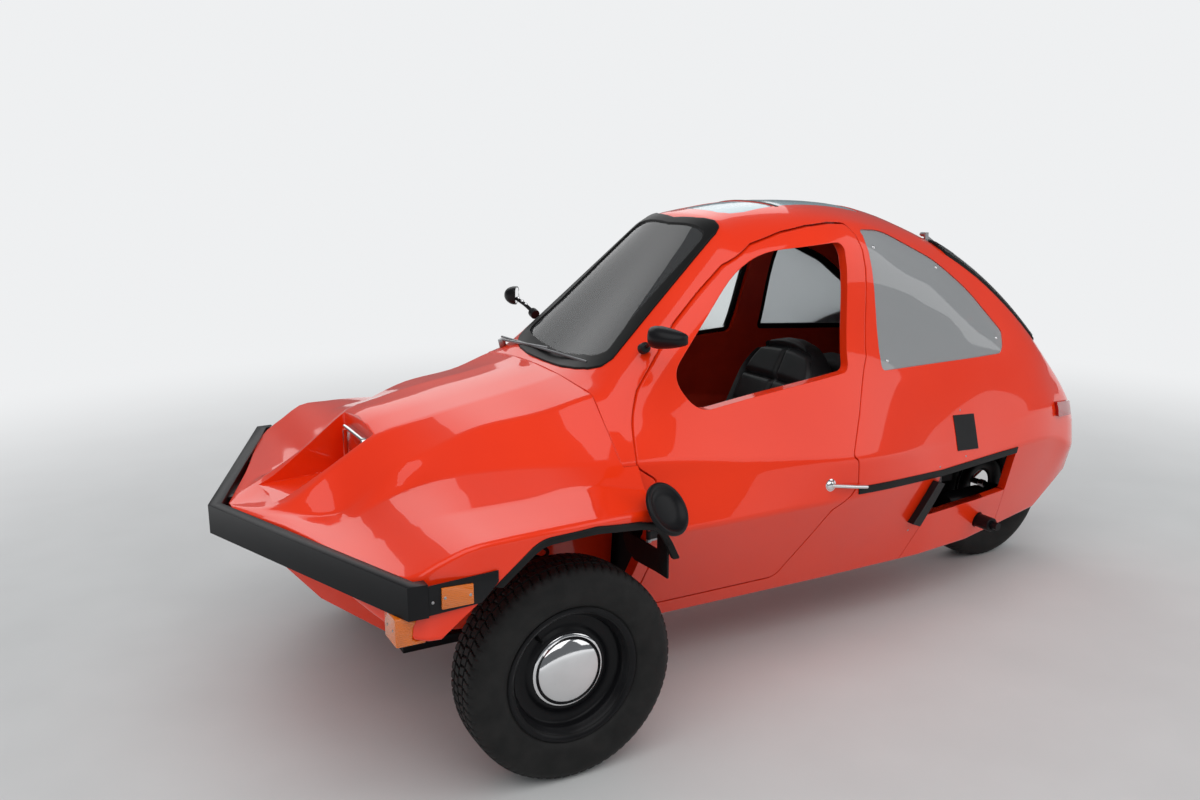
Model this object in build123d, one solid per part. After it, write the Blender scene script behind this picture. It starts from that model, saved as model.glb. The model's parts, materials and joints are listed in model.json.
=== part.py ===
"""Three-wheeled microcar: fibreglass wedge body on a tube frame, two steered wheels
in front and one driven wheel behind.

Everything is drawn about the front axle: x = 0 at the axle and forward positive, y = 0 on
the centre line and left positive, z = 0 on the ground. The finished pieces are shifted
along x so that the origin lies under the middle of the vehicle's length.
Smooth panels are closed shells of flat facets whose corners lie on smooth curves.
"""
import os
from math import acos, cos, hypot, pi, radians, sin, tan

from build123d import *

# Overall layout, mm
WHEELBASE = 1998.0
REAR_X = -WHEELBASE
HALF_TRACK = 600.0
NOSE_REACH = 694.0        # bumper tip ahead of the front axle
TAIL_OVERHANG = 378.0     # rear pad behind the rear axle
TAIL_REACH = WHEELBASE + TAIL_OVERHANG
SHIFT_X = (TAIL_REACH - NOSE_REACH) / 2

# Wheels
TYRE_R = 268.0
TYRE_W = 145.0
RIM_R = 152.0             # bead seat
RIM_LIP_R = 168.0
RIM_W = 122.0
RIM_SHEET = 5.0
HUB_R = 34.0
SPINDLE_R = 14.0
RUNNING_FIT = 0.05
HUB_CAP_R = 92.0
HUB_CAP_RISE = 30.0
HUB_CAP_WALL = 2.0
WHEEL_SIDES = 32
ROD_SIDES = 16

# Steering
KING_PIN_Y = 500.0
KING_PIN_R = 14.0
KING_PIN_TOP = 352.0
STEER_ARM_X = -120.0
STEER_ARM_Y = KING_PIN_Y  # straight back, so that arms, rod and axle stay a parallelogram
TIE_PIN_R = 6.0
AXLE_TUBE_R = 20.0
AXLE_TUBE_Z = 220.0

# Body walls and gaps
WALL = 30.0               # moulded body side with its inner skin
SKIN = 12.0               # nose moulding
SHUT_GAP = 5.0            # round the door and hatch
SEAT_GAP = 0.3            # between pieces that only rest on each other
GLASS = 5.0
PANE_STEP = 2.0           # pane set back from the body's outer face
REBATE = 8.0              # shallow step round each rear side pane
SEAL_W = 15.0
SEAL_DEPTH = 14.0
HATCH_SEAL_PROUD = 7.0

# Heights and stations shared by several pieces
FLOOR_Z = 200.0
COWL_X = -215.0
POST_X = -270.0           # front of the door post, below the fender
DOOR_TAPER = 24.0         # degrees, so that the door's rear edge swings clear
DOOR_PLANE_Y = 450.0
HINGE_X = -262.0
HINGE_Y = 556.0
LONGEST_BAY = 160.0       # between body stations

# Body stations, front to rear, the last five tied to the rear axle:
# x, floor z, then (y, z) at sill, low crease, door crease, upper crease, belt, rail, roof edge,
# and the top z
BODY = [
    (-215, 200, (329, 200), (550, 531), (515, 669), (499, 717), (420, 790), (343, 858), (262, 868), 882),
    (-270, 200, (330, 200), (549, 530), (512, 666), (500, 712), (428, 790), (352, 868), (275, 897), 890),
    (-680, 200, (334, 200), (522, 517), (504, 637), (498, 663), (398, 862), (302, 1180), (208, 1252), 1284),
    (-1000, 200, (336, 200), (498, 510), (498, 610), (496, 624), (398, 862), (280, 1262), (180, 1300), 1318),
    (REAR_X + 598, 200, (330, 200), (418, 506), (405, 578), (404, 588), (348, 835), (222, 1178), (150, 1228), 1256),
    (REAR_X + 358, 200, (298, 200), (367, 504), (357, 578), (356, 588), (308, 832), (206, 1064), (172, 1112), 1128),
    (REAR_X - 72, 212, (196, 214), (272, 490), (265, 580), (264, 590), (226, 690), (196, 752), (172, 776), 792),
    (REAR_X - 238, 300, (176, 322), (206, 430), (197, 510), (196, 520), (166, 592), (130, 628), (100, 640), 648),
    (REAR_X - 332, 356, (84, 366), (112, 440), (107, 490), (106, 500), (84, 540), (60, 556), (40, 562), 566),
]
BENDS = (-270, -680)      # stations where the roof line bends sharply
TAIL_X = BODY[-1][0]

# Nose stations, front to rear:
# x, then (y, z) at centre, scoop ridge, first, second and third crease, shoulder and skirt foot
NOSE = [
    (640, (0, 598), (10, 598), (14, 597), (18, 596), (21, 595), (24, 594), (26, 560)),
    (556, (0, 606), (112, 612), (150, 608), (190, 606), (220, 604), (256, 602), (270, 552)),
    (405, (0, 712), (132, 698), (238, 622), (300, 617), (470, 612), (700, 604), (736, 478)),
    (350, (0, 756), (142, 736), (262, 670), (316, 648), (505, 640), (722, 632), (744, 470)),
    (290, (0, 795), (152, 774), (284, 716), (330, 676), (540, 668), (744, 662), (746, 470)),
    (205, (0, 812), (153, 796), (293, 755), (392, 712), (570, 682), (742, 668), (744, 470)),
    (100, (0, 826), (155, 818), (302, 795), (430, 724), (585, 690), (735, 668), (738, 470)),
    (-100, (0, 860), (150, 852), (322, 826), (474, 720), (560, 690), (695, 654), (704, 470)),
    (-214, (0, 880), (150, 876), (342, 858), (498, 716), (565, 668), (655, 638), (668, 470)),
    (-264, (0, 888), (150, 890), (348, 868), (500, 712), (566, 660), (640, 632), (654, 470)),
]

# Lower nose tub: x, then (y, z) at the bottom corner and at the top corner
TUB = [
    (592, (50, 505), (80, 554)),
    (556, (88, 470), (122, 551)),
    (470, (190, 380), (230, 509)),
    (320, (300, 290), (372, 640)),
    (0, (325, 268), (385, 730)),
    (-269.7, (328, 262), (385, 740)),
]

# Door edge, round from the foot of the windscreen pillar: (x, y, z) on the body's face
DOOR = [
    (-318, 372, 868), (-393, 345, 947), (-463, 323, 1018), (-552, 298, 1096), (-639, 286, 1165),
    (-734, 266, 1217), (-833, 250, 1246), (-919, 250, 1260), (-1010, 262, 1266), (-1080, 262, 1262),
    (-1090, 281, 1200), (-1092, 382, 884), (-1024, 446, 733), (-965, 494, 631), (-982, 497, 617),
    (-985, 499, 546), (-960, 500, 520), (-899, 487, 479), (-803, 372, 265), (-783, 366, 255),
    (-330, 366, 255), (-308, 395, 300), (-308, 543, 530), (-308, 530, 600), (-308, 513, 661),
    (-250, 502, 702), (-283, 429, 790),
]
DOOR_CORNER_R = 16.0

# Outlines in side view: x, z and corner radius
DOOR_WINDOW = [(-424, 893, 25), (-482, 798, 28), (-1012, 851, 26), (-1034, 1214, 30), (-705, 1192, 310)]
RIGHT_WINDOW = [(-424, 893, 25), (-482, 798, 28), (-1128, 846, 26), (-1196, 1206, 30), (-705, 1192, 310)]
PANE_BACK = [(-1758, 819, 45), (-1778, 884, 25), (-1640, 1024, 500), (-1480, 1132, 500)]
PANE_LEFT = [(-1128, 1241, 14), (-1150, 837, 20)] + PANE_BACK + [(-1240, 1233, 400)]
PANE_RIGHT = [(-1242, 1228, 14), (-1215, 837, 20)] + PANE_BACK
HOLE_BACK = [(-1650, 830, 40), (-1672, 880, 30), (-1560, 1010, 400), (-1440, 1100, 300)]
HOLE_LEFT = [(-1140, 1205, 20), (-1160, 849, 24)] + HOLE_BACK + [(-1240, 1196, 300)]
HOLE_RIGHT = [(-1252, 1190, 20), (-1226, 849, 24)] + HOLE_BACK
ARCH = [
    (372, 430, 0), (352, 474, 60), (230, 568, 60), (117, 653, 90), (-34, 649, 90), (-169, 625, 80),
    (-225, 608, 30), (-250, 585, 30), (-272, 550, 30), (-294, 504, 0), (-294, 430, 0),
]

# The same behind the cabin, with x from the rear axle
ENGINE_OPEN = [(614, 490, 8), (190, 488, 8), (190, 350, 6), (621, 355, 8)]
ENGINE_PANEL = [(621, 355, 6), (190, 350, 6), (190, 190, 0), (694, 190, 0)]
LATCH = [(708, 347, 0), (668, 330, 0), (612, 470, 0), (650, 484, 0)]
REAR_MARKER = [(-54, 619, 6), (-187, 599, 6), (-171, 556, 6), (-60, 568, 6)]

# Half outlines in plan (x, y), from the centre line forwards and round to it again
SCREEN_OUT = [
    (-239, 0), (-238, 105), (-247, 178), (-261, 230), (-284, 266), (-312, 277), (-348, 270), (-453, 251),
    (-602, 226), (-672, 215), (-694, 200), (-699, 168), (-680, 103), (-668, 0),
]
SCREEN_IN = [
    (-286, 0), (-286, 120), (-291, 190), (-300, 222), (-318, 240), (-366, 226), (-405, 216), (-479, 209),
    (-567, 204), (-640, 196), (-654, 178), (-657, 150), (-656, 101), (-651, 0),
]
ROOF_FRONT = [(-752, 0), (-753, 100), (-772, 134), (-813, 147), (-858, 142), (-925, 140), (-925, 0)]
ROOF_REAR = [(-936, 0), (-936, 140), (-1240, 134), (-1268, 118), (-1270, 0)]
HATCH = [(430, 0), (430, 155), (412, 175), (-14, 188), (-32, 168), (-32, 0)]

pieces = {}


def through(xs, points, x):
    """Point at x of the smooth curve through the points, whose xs rise."""
    spans = [b - a for a, b in zip(xs, xs[1:])]
    spot = max(i for i in range(len(spans)) if i == 0 or x >= xs[i])
    t = (x - xs[spot]) / spans[spot]
    found = []
    for values in zip(*points):
        rates = [(b - a) / s for a, b, s in zip(values, values[1:], spans)]
        if len(rates) == 1:
            found.append(values[0] + rates[0] * (x - xs[0]))
            continue
        inner = [
            (spans[i + 1] * rates[i] + spans[i] * rates[i + 1]) / (spans[i] + spans[i + 1])
            for i in range(len(rates) - 1)
        ]
        ends = (3 * rates[0] - inner[0]) / 2, (3 * rates[-1] - inner[-1]) / 2
        tangents = [ends[0]] + inner + [ends[1]]
        near = (2 * t**3 - 3 * t**2 + 1) * values[spot] + (t**3 - 2 * t**2 + t) * spans[spot] * tangents[spot]
        far = (3 * t**2 - 2 * t**3) * values[spot + 1] + (t**3 - t**2) * spans[spot] * tangents[spot + 1]
        found.append(near + far)
    return tuple(found)


def column(rows, pick, x, bends=()):
    """The same down one column of a table of stations, bent sharply at some of them."""
    cuts = [-9999] + sorted(bends) + [9999]
    low, high = next((a, b) for a, b in zip(cuts, cuts[1:]) if a <= x <= b)
    kept = sorted((row[0], pick(row)) for row in rows if low <= row[0] <= high)
    return through([k for k, _ in kept], [p for _, p in kept], x)


def mirrored(half):
    """Close a half section, top to bottom on the left, with its mirror image."""
    return half + [(-y, z) for y, z in reversed(half[1:-1])]


def inset(points, depth):
    """Move each side of a closed polygon inwards by the depth."""
    pairs = list(zip(points, points[1:] + points[:1]))
    area = sum(a[0] * b[1] - b[0] * a[1] for a, b in pairs)
    turn = 1 if area > 0 else -1
    lines = []
    for (ay, az), (by, bz) in pairs:
        length = hypot(by - ay, bz - az)
        normal = (-turn * (bz - az) / length, turn * (by - ay) / length)
        lines.append((normal, normal[0] * ay + normal[1] * az + depth))
    moved = []
    for (n1, d1), (n2, d2), (y, z) in zip(lines[-1:] + lines[:-1], lines, points):
        cross = n1[0] * n2[1] - n1[1] * n2[0]
        if abs(cross) < 1e-3:
            moved.append((y + depth * n2[0], z + depth * n2[1]))
        else:
            moved.append(((d1 * n2[1] - d2 * n1[1]) / cross, (n1[0] * d2 - n2[0] * d1) / cross))
    return moved


def rounded(points, steps=3):
    """Polygon of (a, b, radius) corners with each corner rounded by short sides."""
    result = []
    for i, (a, b, radius) in enumerate(points):
        before, after = points[i - 1], points[(i + 1) % len(points)]
        u = (before[0] - a, before[1] - b)
        v = (after[0] - a, after[1] - b)
        lu, lv = hypot(*u), hypot(*v)
        half = acos(max(-1.0, min(1.0, (u[0] * v[0] + u[1] * v[1]) / (lu * lv)))) / 2
        reach = min(radius / tan(half), 0.45 * lu, 0.45 * lv) if radius and half < pi / 2 else 0.0
        if reach < 0.5:
            result.append((a, b))
            continue
        for k in range(steps + 1):
            t = k / steps
            p, q = reach * (1 - t) ** 2 / lu, reach * t * t / lv
            result.append((a + u[0] * p + v[0] * q, b + u[1] * p + v[1] * q))
    return result


def shrunk(corners, depth):
    """The same polygon moved inwards all round."""
    moved = inset([(a, b) for a, b, _ in corners], depth)
    return rounded([(a, b, max(corner[2] - depth, 0.0)) for (a, b), corner in zip(moved, corners)])


def from_rear(points):
    return [(REAR_X + point[0],) + tuple(point[1:]) for point in points]


def both_sides(half):
    """Close a half plan outline, whose ends lie on the centre line, with its mirror image."""
    return half + [(x, -y) for x, y in reversed(half[1:-1])]


def facet(corners):
    return Face(Wire.make_polygon([Vector(*c) for c in corners]))


def quad(a, b, c, d, first_diagonal):
    """One flat facet, or two where the four corners don't lie in a plane."""
    p, q, r, s = (Vector(*v) for v in (a, b, c, d))
    lean = (q - p).cross(r - p)
    if lean.length < 1e-9 or abs(lean.normalized().dot(s - p)) < 1e-5:
        return [facet((a, b, c, d))]
    if first_diagonal:
        return [facet((a, b, c)), facet((a, c, d))]
    return [facet((a, b, d)), facet((b, c, d))]


def closed(faces):
    return Part([Solid(Shell(faces))])


def skin_faces(rings):
    """Facets between rings of (x, y, z) points, alike on both sides of the centre line."""
    count = len(rings[0])
    faces = []
    for near, far in zip(rings, rings[1:]):
        for k in range(count):
            n = (k + 1) % count
            faces += quad(near[k], near[n], far[n], far[k], k < count / 2)
    return faces


def tube(rings):
    """Solid through closed rings of points."""
    return closed(skin_faces(rings) + [facet(rings[0]), facet(rings[-1])])


def pipe(outer_rings, inner_rings):
    """Open-ended skin between two sets of rings."""
    faces = skin_faces(outer_rings) + skin_faces(inner_rings)
    for end in (0, -1):
        big, small = outer_rings[end], inner_rings[end]
        for k in range(len(big)):
            n = (k + 1) % len(big)
            faces.append(facet((big[k], big[n], small[n], small[k])))
    return closed(faces)


def prism(corners, reach):
    return Part([Solid.extrude(facet(corners), Vector(*reach))])


def run_x(points, back, front):
    """Run a (y, z) outline along the body."""
    return prism([(back, y, z) for y, z in points], (front - back, 0, 0))


def run_y(points, near, far):
    """Run an (x, z) outline across the body."""
    return prism([(x, near, z) for x, z in points], (0, far - near, 0))


def run_z(points, low, high):
    """Run an (x, y) outline upwards."""
    return prism([(x, y, low) for x, y in points], (0, 0, high - low))


def block(x0, x1, y0, y1, z0, z1):
    centre = Pos((x0 + x1) / 2, (y0 + y1) / 2, (z0 + z1) / 2)
    return centre * Box(abs(x1 - x0), abs(y1 - y0), abs(z1 - z0))


def rod(start, end, radius, sides=ROD_SIDES):
    """Bar between two points, its corners on the radius."""
    a, b = Vector(*start), Vector(*end)
    plane = Plane(origin=a, z_dir=b - a)
    angles = [2 * pi * k / sides for k in range(sides)]
    ring = [plane.from_local_coords(Vector(radius * cos(t), radius * sin(t), 0)) for t in angles]
    return Part([Solid.extrude(Face(Wire.make_polygon(ring)), b - a)])


def bore(start, end, radius, sides=ROD_SIDES):
    """Hole cutter whose sides keep outside the radius."""
    return rod(start, end, radius / cos(pi / sides), sides)


def mirror_y(shape):
    return mirror(shape, about=Plane.XZ)


def pair(shape):
    return shape + mirror_y(shape)


def turned(profile, sides=WHEEL_SIDES):
    """Turn a closed (radius, height) profile about the z axis in flat steps."""
    rings = []
    for k in range(sides):
        t = 2 * pi * k / sides
        rings.append([(r * cos(t), r * sin(t), z) for r, z in profile])
    faces = []
    for k in range(sides):
        a, b = rings[k], rings[(k + 1) % sides]
        for i in range(len(profile)):
            n = (i + 1) % len(profile)
            if profile[i][0] == 0 and profile[n][0] == 0:
                continue
            corners = [a[i], a[n]]
            corners += [b[n]] if profile[n][0] else []
            corners += [b[i]] if profile[i][0] else []
            faces.append(facet(corners))
    return closed(faces)


# Body surfaces at any depth below the outer face
SMOOTH_STEPS = (2, 2, 2, 2)


def body_keys(x):
    """Top, roof edge, rail, belt, upper, door and low creases, sill and floor at a station."""
    top = column(BODY, lambda row: (0.0, row[9]), x, BENDS)
    sharp = [column(BODY, lambda row, k=k: row[k], x, BENDS) for k in (8, 7)]
    soft = [column(BODY, lambda row, k=k: row[k], x) for k in (6, 5, 4, 3)]
    every = [row[0] for row in BODY[1:-1]]
    foot = [column(BODY, pick, x, every) for pick in (lambda row: row[2], lambda row: (0.0, row[1]))]
    return [top] + sharp + soft + foot


def body_ring(x, depth, shift=0.0):
    keys = body_keys(x)
    if depth:
        keys = inset(mirrored(keys), depth)[: len(keys)]
        keys[0] = (0.0, keys[0][1])
        keys[-1] = (0.0, keys[-1][1])
    chain = [(-keys[1][0], keys[1][1])] + keys[:5]
    steps = [0.0]
    for a, b in zip(chain, chain[1:]):
        steps.append(steps[-1] + hypot(b[0] - a[0], b[1] - a[1]))
    half = []
    for i, count in enumerate(SMOOTH_STEPS):
        for k in range(count):
            place = steps[i + 1] + (steps[i + 2] - steps[i + 1]) * k / count
            half.append(through(steps, chain, place))
    half += keys[4:]
    return [(x + shift, y, z) for y, z in mirrored(half)]


def bays(rows, longest):
    """Stations of a table with more between them where they are far apart."""
    xs = sorted(rows)
    found = [xs[0]]
    for a, b in zip(xs, xs[1:]):
        count = int((b - a) / longest) + 1
        found += [a + (b - a) * k / count for k in range(1, count + 1)]
    return found


STATIONS = bays([row[0] for row in BODY], LONGEST_BAY)


def between(back, front):
    return [back] + [x for x in STATIONS if back + 1 < x < front - 1] + [front]


def body_tube(depth, back, front):
    return tube([body_ring(x, depth) for x in between(back, front)])


def layer(high, low, back, front):
    """Skin of the body between two depths."""
    xs = between(back, front)
    return pipe([body_ring(x, high) for x in xs], [body_ring(x, low) for x in xs])


def cavity(gap=0.0):
    """Room inside the walls, open at the front and closed at the tail."""
    xs = between(BODY[-2][0], COWL_X)
    rings = [body_ring(x, WALL + gap) for x in xs]
    rings[0] = body_ring(xs[0], WALL + gap, WALL)
    rings[-1] = body_ring(xs[-1], WALL + gap, 1.0)
    return tube(rings)


def top_z(x):
    return body_keys(x)[0][1]


outer = body_tube(0.0, TAIL_X, COWL_X)
shell = outer - cavity()

# Door prism, whose edges lean so that the inner edge lies ahead of the outer one
LEAN = tan(radians(DOOR_TAPER))
PRISM_IN = 245.0
PRISM_OUT = 700.0
COWL_BACK = -345.0        # the cowl's inner edge, which the door leaves whole
COWL_SIDE = 338.0


def door_prism(shrink, radius):
    """Run the door's outline along the leaning direction, from inside to outside."""
    plan = [(x - (DOOR_PLANE_Y - y) * LEAN, z) for x, y, z in DOOR]
    plan = inset(plan, shrink) if shrink else plan
    corners = rounded([(x, z, radius) for x, z in plan], 2)
    shift = (DOOR_PLANE_Y - PRISM_IN) * LEAN
    depth = PRISM_OUT - PRISM_IN
    cowl = block(COWL_BACK - shrink, COWL_X, 200, COWL_SIDE + shrink, 800, 940)
    return prism([(x + shift, PRISM_IN, z) for x, z in corners], (-LEAN * depth, depth, 0)) - cowl


screen_out = both_sides(SCREEN_OUT)
screen_in = both_sides(SCREEN_IN)
roof_front = both_sides(ROOF_FRONT)
roof_rear = both_sides(ROOF_REAR)
hatch = both_sides(from_rear(HATCH))
SIDES = (
    ("left", 60, 620, PANE_LEFT, HOLE_LEFT),
    ("right", -620, -60, PANE_RIGHT, HOLE_RIGHT),
)
rebate_layer = layer(-REBATE, REBATE, -1880, -1040)
cutters = [door_prism(0.0, DOOR_CORNER_R + SHUT_GAP), run_y(rounded(RIGHT_WINDOW), -620, -60)]
cutters += [run_z(plan, 640, 1400) for plan in (screen_out, roof_front, roof_rear, hatch)]
for name, near, far, pane, hole in SIDES:
    cutters += [run_y(rounded(hole), near, far), rebate_layer & run_y(rounded(pane), near, far)]
cutters.append(block(POST_X, COWL_X + 5, -700, 700, 100, 575))

# Rear wheel well, engine opening and its lower panel
WELL_HALF_W = 112.0
WELL_GAP = 26.0
PIVOT_X = REAR_X + 333.0
PIVOT_Z = 225.0
cutters.append(bore((REAR_X, -WELL_HALF_W, TYRE_R), (REAR_X, WELL_HALF_W, TYRE_R), TYRE_R + WELL_GAP, 32))
cutters.append(block(REAR_X - 270, PIVOT_X + 30, -WELL_HALF_W, WELL_HALF_W, 100, FLOOR_Z + 60))
panel_edge = from_rear(ENGINE_PANEL)
cutters.append(run_y(rounded(from_rear(ENGINE_OPEN)), 100, 600))
cutters.append(run_y(rounded(panel_edge), 180, 600))
hollow = shell
for cutter in cutters:
    hollow = hollow - cutter
PANEL_GAP = 2.0
engine_panel = shell & run_y(shrunk(panel_edge, PANEL_GAP), 180, 600)

# Joint between the two body halves, under the waist strip
STRIP_FRONT = -985.0
STRIP_BACK = REAR_X + 190.0
STRIP_RIGHT_FRONT = -330.0
STRIP_HALF_H = 11.0
STRIP_MIDDLE = [(-150, 528), (STRIP_FRONT, 528), (-1386, 500), (STRIP_BACK, 496)]
upper_side = STRIP_MIDDLE + [(-2400, 470), (-2400, 1500), (-150, 1500)]
lower_side = STRIP_MIDDLE + [(-2400, 470), (-2400, 0), (-150, 0)]
pieces["body_upper"] = hollow & run_y(upper_side, -900, 900)
pieces["lower_tub"] = hollow & run_y(lower_side, -900, 900)
pieces["door_left"] = (shell & door_prism(SHUT_GAP, DOOR_CORNER_R)) - run_y(rounded(DOOR_WINDOW), 60, 620)

# Glazing: each pane sits in a rubber ring that fills the opening's edge
SCREEN_SEAL_PROUD = 5.0
front_layer = layer(-SCREEN_SEAL_PROUD, SEAL_DEPTH, -760, COWL_X)
screen_ring = run_z(screen_out, 640, 1400) - run_z(screen_in, 600, 1500)
pieces["windscreen_seal"] = front_layer & screen_ring
front_pane = layer(PANE_STEP, PANE_STEP + GLASS, -760, COWL_X)
pieces["windscreen_glass"] = front_pane & run_z(inset(screen_in, SEAT_GAP), 640, 1400)
roof_pane = layer(PANE_STEP, PANE_STEP + GLASS, -1400, -690)
for name, plan in (("roof_panel_front", roof_front), ("roof_panel_rear", roof_rear)):
    pieces[name] = roof_pane & run_z(inset(plan, SEAT_GAP), 900, 1400)
rear_pane = layer(REBATE - SEAT_GAP - GLASS, REBATE - SEAT_GAP, -1880, -1040)
rear_gasket = layer(REBATE + SEAT_GAP, REBATE + 14.0, -1880, -1040)
side_layer = layer(-1.0, SEAL_DEPTH, -1300, -300)
ring = run_y(rounded(RIGHT_WINDOW), -620, -60) - run_y(shrunk(RIGHT_WINDOW, SEAL_W), -700, 0)
pieces["side_window_seal"] = side_layer & ring
GASKET_W = 18.0
for name, near, far, pane, hole in SIDES:
    pieces["quarter_window_" + name] = rear_pane & run_y(shrunk(pane, SEAT_GAP), near, far)
    ring = run_y(shrunk(hole, SEAT_GAP), near, far) - run_y(shrunk(hole, GASKET_W), near - 60, far + 60)
    pieces["side_window_seal"] = pieces["side_window_seal"] + (rear_gasket & ring)
side_pane = layer(PANE_STEP, PANE_STEP + GLASS, -1300, -300)
pieces["side_window_glass"] = side_pane & run_y(shrunk(RIGHT_WINDOW, SEAL_W + SEAT_GAP), -620, -60)

# Rear hatch: a glass lid over a rubber ring, on two hinges at its top edge
hatch_rear = REAR_X - 120
hatch_front = REAR_X + 500
hatch_layer = layer(-HATCH_SEAL_PROUD, SEAL_DEPTH, hatch_rear, hatch_front)
hatch_ring = run_z(inset(hatch, SEAT_GAP), 640, 1400) - run_z(inset(hatch, SEAL_W), 600, 1500)
pieces["hatch_seal"] = hatch_layer & hatch_ring
LID_LOW = HATCH_SEAL_PROUD + SEAT_GAP
LID_HIGH = LID_LOW + GLASS
lid_layer = layer(-LID_HIGH, -LID_LOW, hatch_rear, hatch_front)
pieces["hatch_glass"] = lid_layer & run_z(inset(hatch, SHUT_GAP), 640, 1400)
HATCH_PIN_X = REAR_X + 443.0
HATCH_PIN_R = 3.5
HATCH_LEAF_R = 7.0
HATCH_PIN_Z = top_z(HATCH_PIN_X) + 18.0
HATCH_LEAF_X = HATCH_PIN_X - 60.0
HATCH_LEAF_Z = top_z(HATCH_LEAF_X) + LID_HIGH + 4.0
brackets = Part()
leaves = Part()
for side in (1, -1):
    y0 = side * 92.0
    y1 = side * 112.0
    y2 = y1 + side * SEAT_GAP
    y3 = y1 + side * HATCH_LEAF_R
    low = HATCH_PIN_Z - 60
    brackets = brackets + block(HATCH_PIN_X - 7, HATCH_PIN_X + 7, y2, y3, low, HATCH_PIN_Z + 7)
    brackets = brackets + rod((HATCH_PIN_X, y0, HATCH_PIN_Z), (HATCH_PIN_X, y1 + side * 6, HATCH_PIN_Z), HATCH_PIN_R)
    leaves = leaves + rod((HATCH_PIN_X, y0, HATCH_PIN_Z), (HATCH_PIN_X, y1, HATCH_PIN_Z), HATCH_LEAF_R)
    y4 = y0 + side * 10
    leaves = leaves + rod((HATCH_PIN_X, y4, HATCH_PIN_Z), (HATCH_LEAF_X, y4, HATCH_LEAF_Z), 6)
pin_ends = (HATCH_PIN_X, -300, HATCH_PIN_Z), (HATCH_PIN_X, 300, HATCH_PIN_Z)
lid_body = body_tube(-LID_HIGH, hatch_rear, hatch_front)
pieces["hatch_brackets"] = brackets - outer
pieces["hatch_leaves"] = leaves - bore(*pin_ends, HATCH_PIN_R + RUNNING_FIT) - lid_body

# Nose: fender and bonnet moulding, open underneath
NOSE_BAYS = bays([row[0] for row in NOSE], 110.0)
BELOW_LIP = 90.0


def nose_ring(x, depth, drop, shift=0.0):
    half = [column(NOSE, lambda row, k=k: row[k], x) for k in range(1, 8)]
    foot_y, foot_z = half[-1]
    half = half[:-1] + [(foot_y, foot_z - drop), (0.0, foot_z - drop)]
    points = mirrored(half)
    points = inset(points, depth) if depth else points
    return [(x + shift, y, z) for y, z in points]


FENDER_END = -300.0
outer_rings = [nose_ring(x, 0.0, 0.0) for x in NOSE_BAYS]
outer_rings = [[(FENDER_END, y, z) for _, y, z in outer_rings[0]]] + outer_rings
outer_nose = tube(outer_rings)
inner_rings = [nose_ring(x, SKIN, BELOW_LIP, -SKIN if x > 290 else 0.0) for x in NOSE_BAYS if x <= 556]
inner_rings = [[(FENDER_END - 20, y, z) for _, y, z in inner_rings[0]]] + inner_rings
inner_nose = tube(inner_rings)
SCOOP_BACK = 300.0
SCOOP_FRONT = 570.0
SCOOP_FLOOR = 612.0
SCOOP_WALL = 9.0
scoop = [(SCOOP_FRONT, 84), (SCOOP_BACK, 136), (SCOOP_BACK, -136), (SCOOP_FRONT, -84)]
scoop_walls = run_z(inset(scoop, -SCOOP_WALL), SCOOP_FLOOR - SCOOP_WALL, 900) & outer_nose
nose = (outer_nose - inner_nose) + scoop_walls
nose = nose - run_z(scoop, SCOOP_FLOOR, 900)
JOINT_GAP = 6.0
nose = nose - tube([body_ring(x, -JOINT_GAP) for x in (-400, -330, POST_X, COWL_X + 0.7)])
arch_edge = rounded(ARCH, 2)
FENDER_BACK = [(-262, 720), (-235, 640), (-266, 569), (-290, 560), (-420, 560), (-420, 1000), (-262, 1000)]
for near, far in ((560, 820), (-820, -560)):
    nose = nose - run_y(arch_edge, near, far)
nose = nose - run_y(FENDER_BACK, -820, 820) - block(-420, -200, -820, 820, 300, 562)
pieces["nose_shell"] = nose


def tub_ring(row, depth, shift=0.0):
    x, (low_y, low_z), (top_y, top_z) = row
    rise = 60.0 if depth else 0.0
    points = mirrored([(0, top_z + rise), (top_y, top_z + rise), (low_y, low_z), (0, low_z)])
    points = inset(points, depth) if depth else points
    return [(x + shift, y, z) for y, z in points]


tub_outer = tube([tub_ring(row, 0) for row in TUB])
tub_inner = [tub_ring(row, SKIN) for row in TUB]
tub_inner[0] = tub_ring(TUB[0], SKIN, -SKIN)
tub_inner[-1] = tub_ring(TUB[-1], SKIN, -1.0)
pieces["nose_tub"] = tub_outer - tube(tub_inner)
room = cavity(SEAT_GAP)
FIREWALL_X = -300.0
PANEL_T = 8.0
DOOR_CLEAR = 10.0         # room for the door's inner edge as it swings
DECK_X = REAR_X + 660.0
DECK_Z = 588.0
DECK_T = 12.0
firewall = room & block(FIREWALL_X, FIREWALL_X + PANEL_T, -700, 700, 100, 1000)
swing_room = layer(WALL - 1, WALL + DOOR_CLEAR, -400, COWL_X) & block(-400, COWL_X, 200, 700, 290, 880)
pieces["firewall"] = firewall - swing_room
pieces["dashboard"] = room & block(-420, FIREWALL_X - SEAT_GAP, -290, 290, 730, 850)
deck = room & block(DECK_X, DECK_X + DECK_T, -600, 600, 100, DECK_Z + DECK_T)
pieces["rear_deck"] = deck + (room & block(REAR_X - 152, DECK_X, -600, 600, DECK_Z, DECK_Z + DECK_T))

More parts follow.
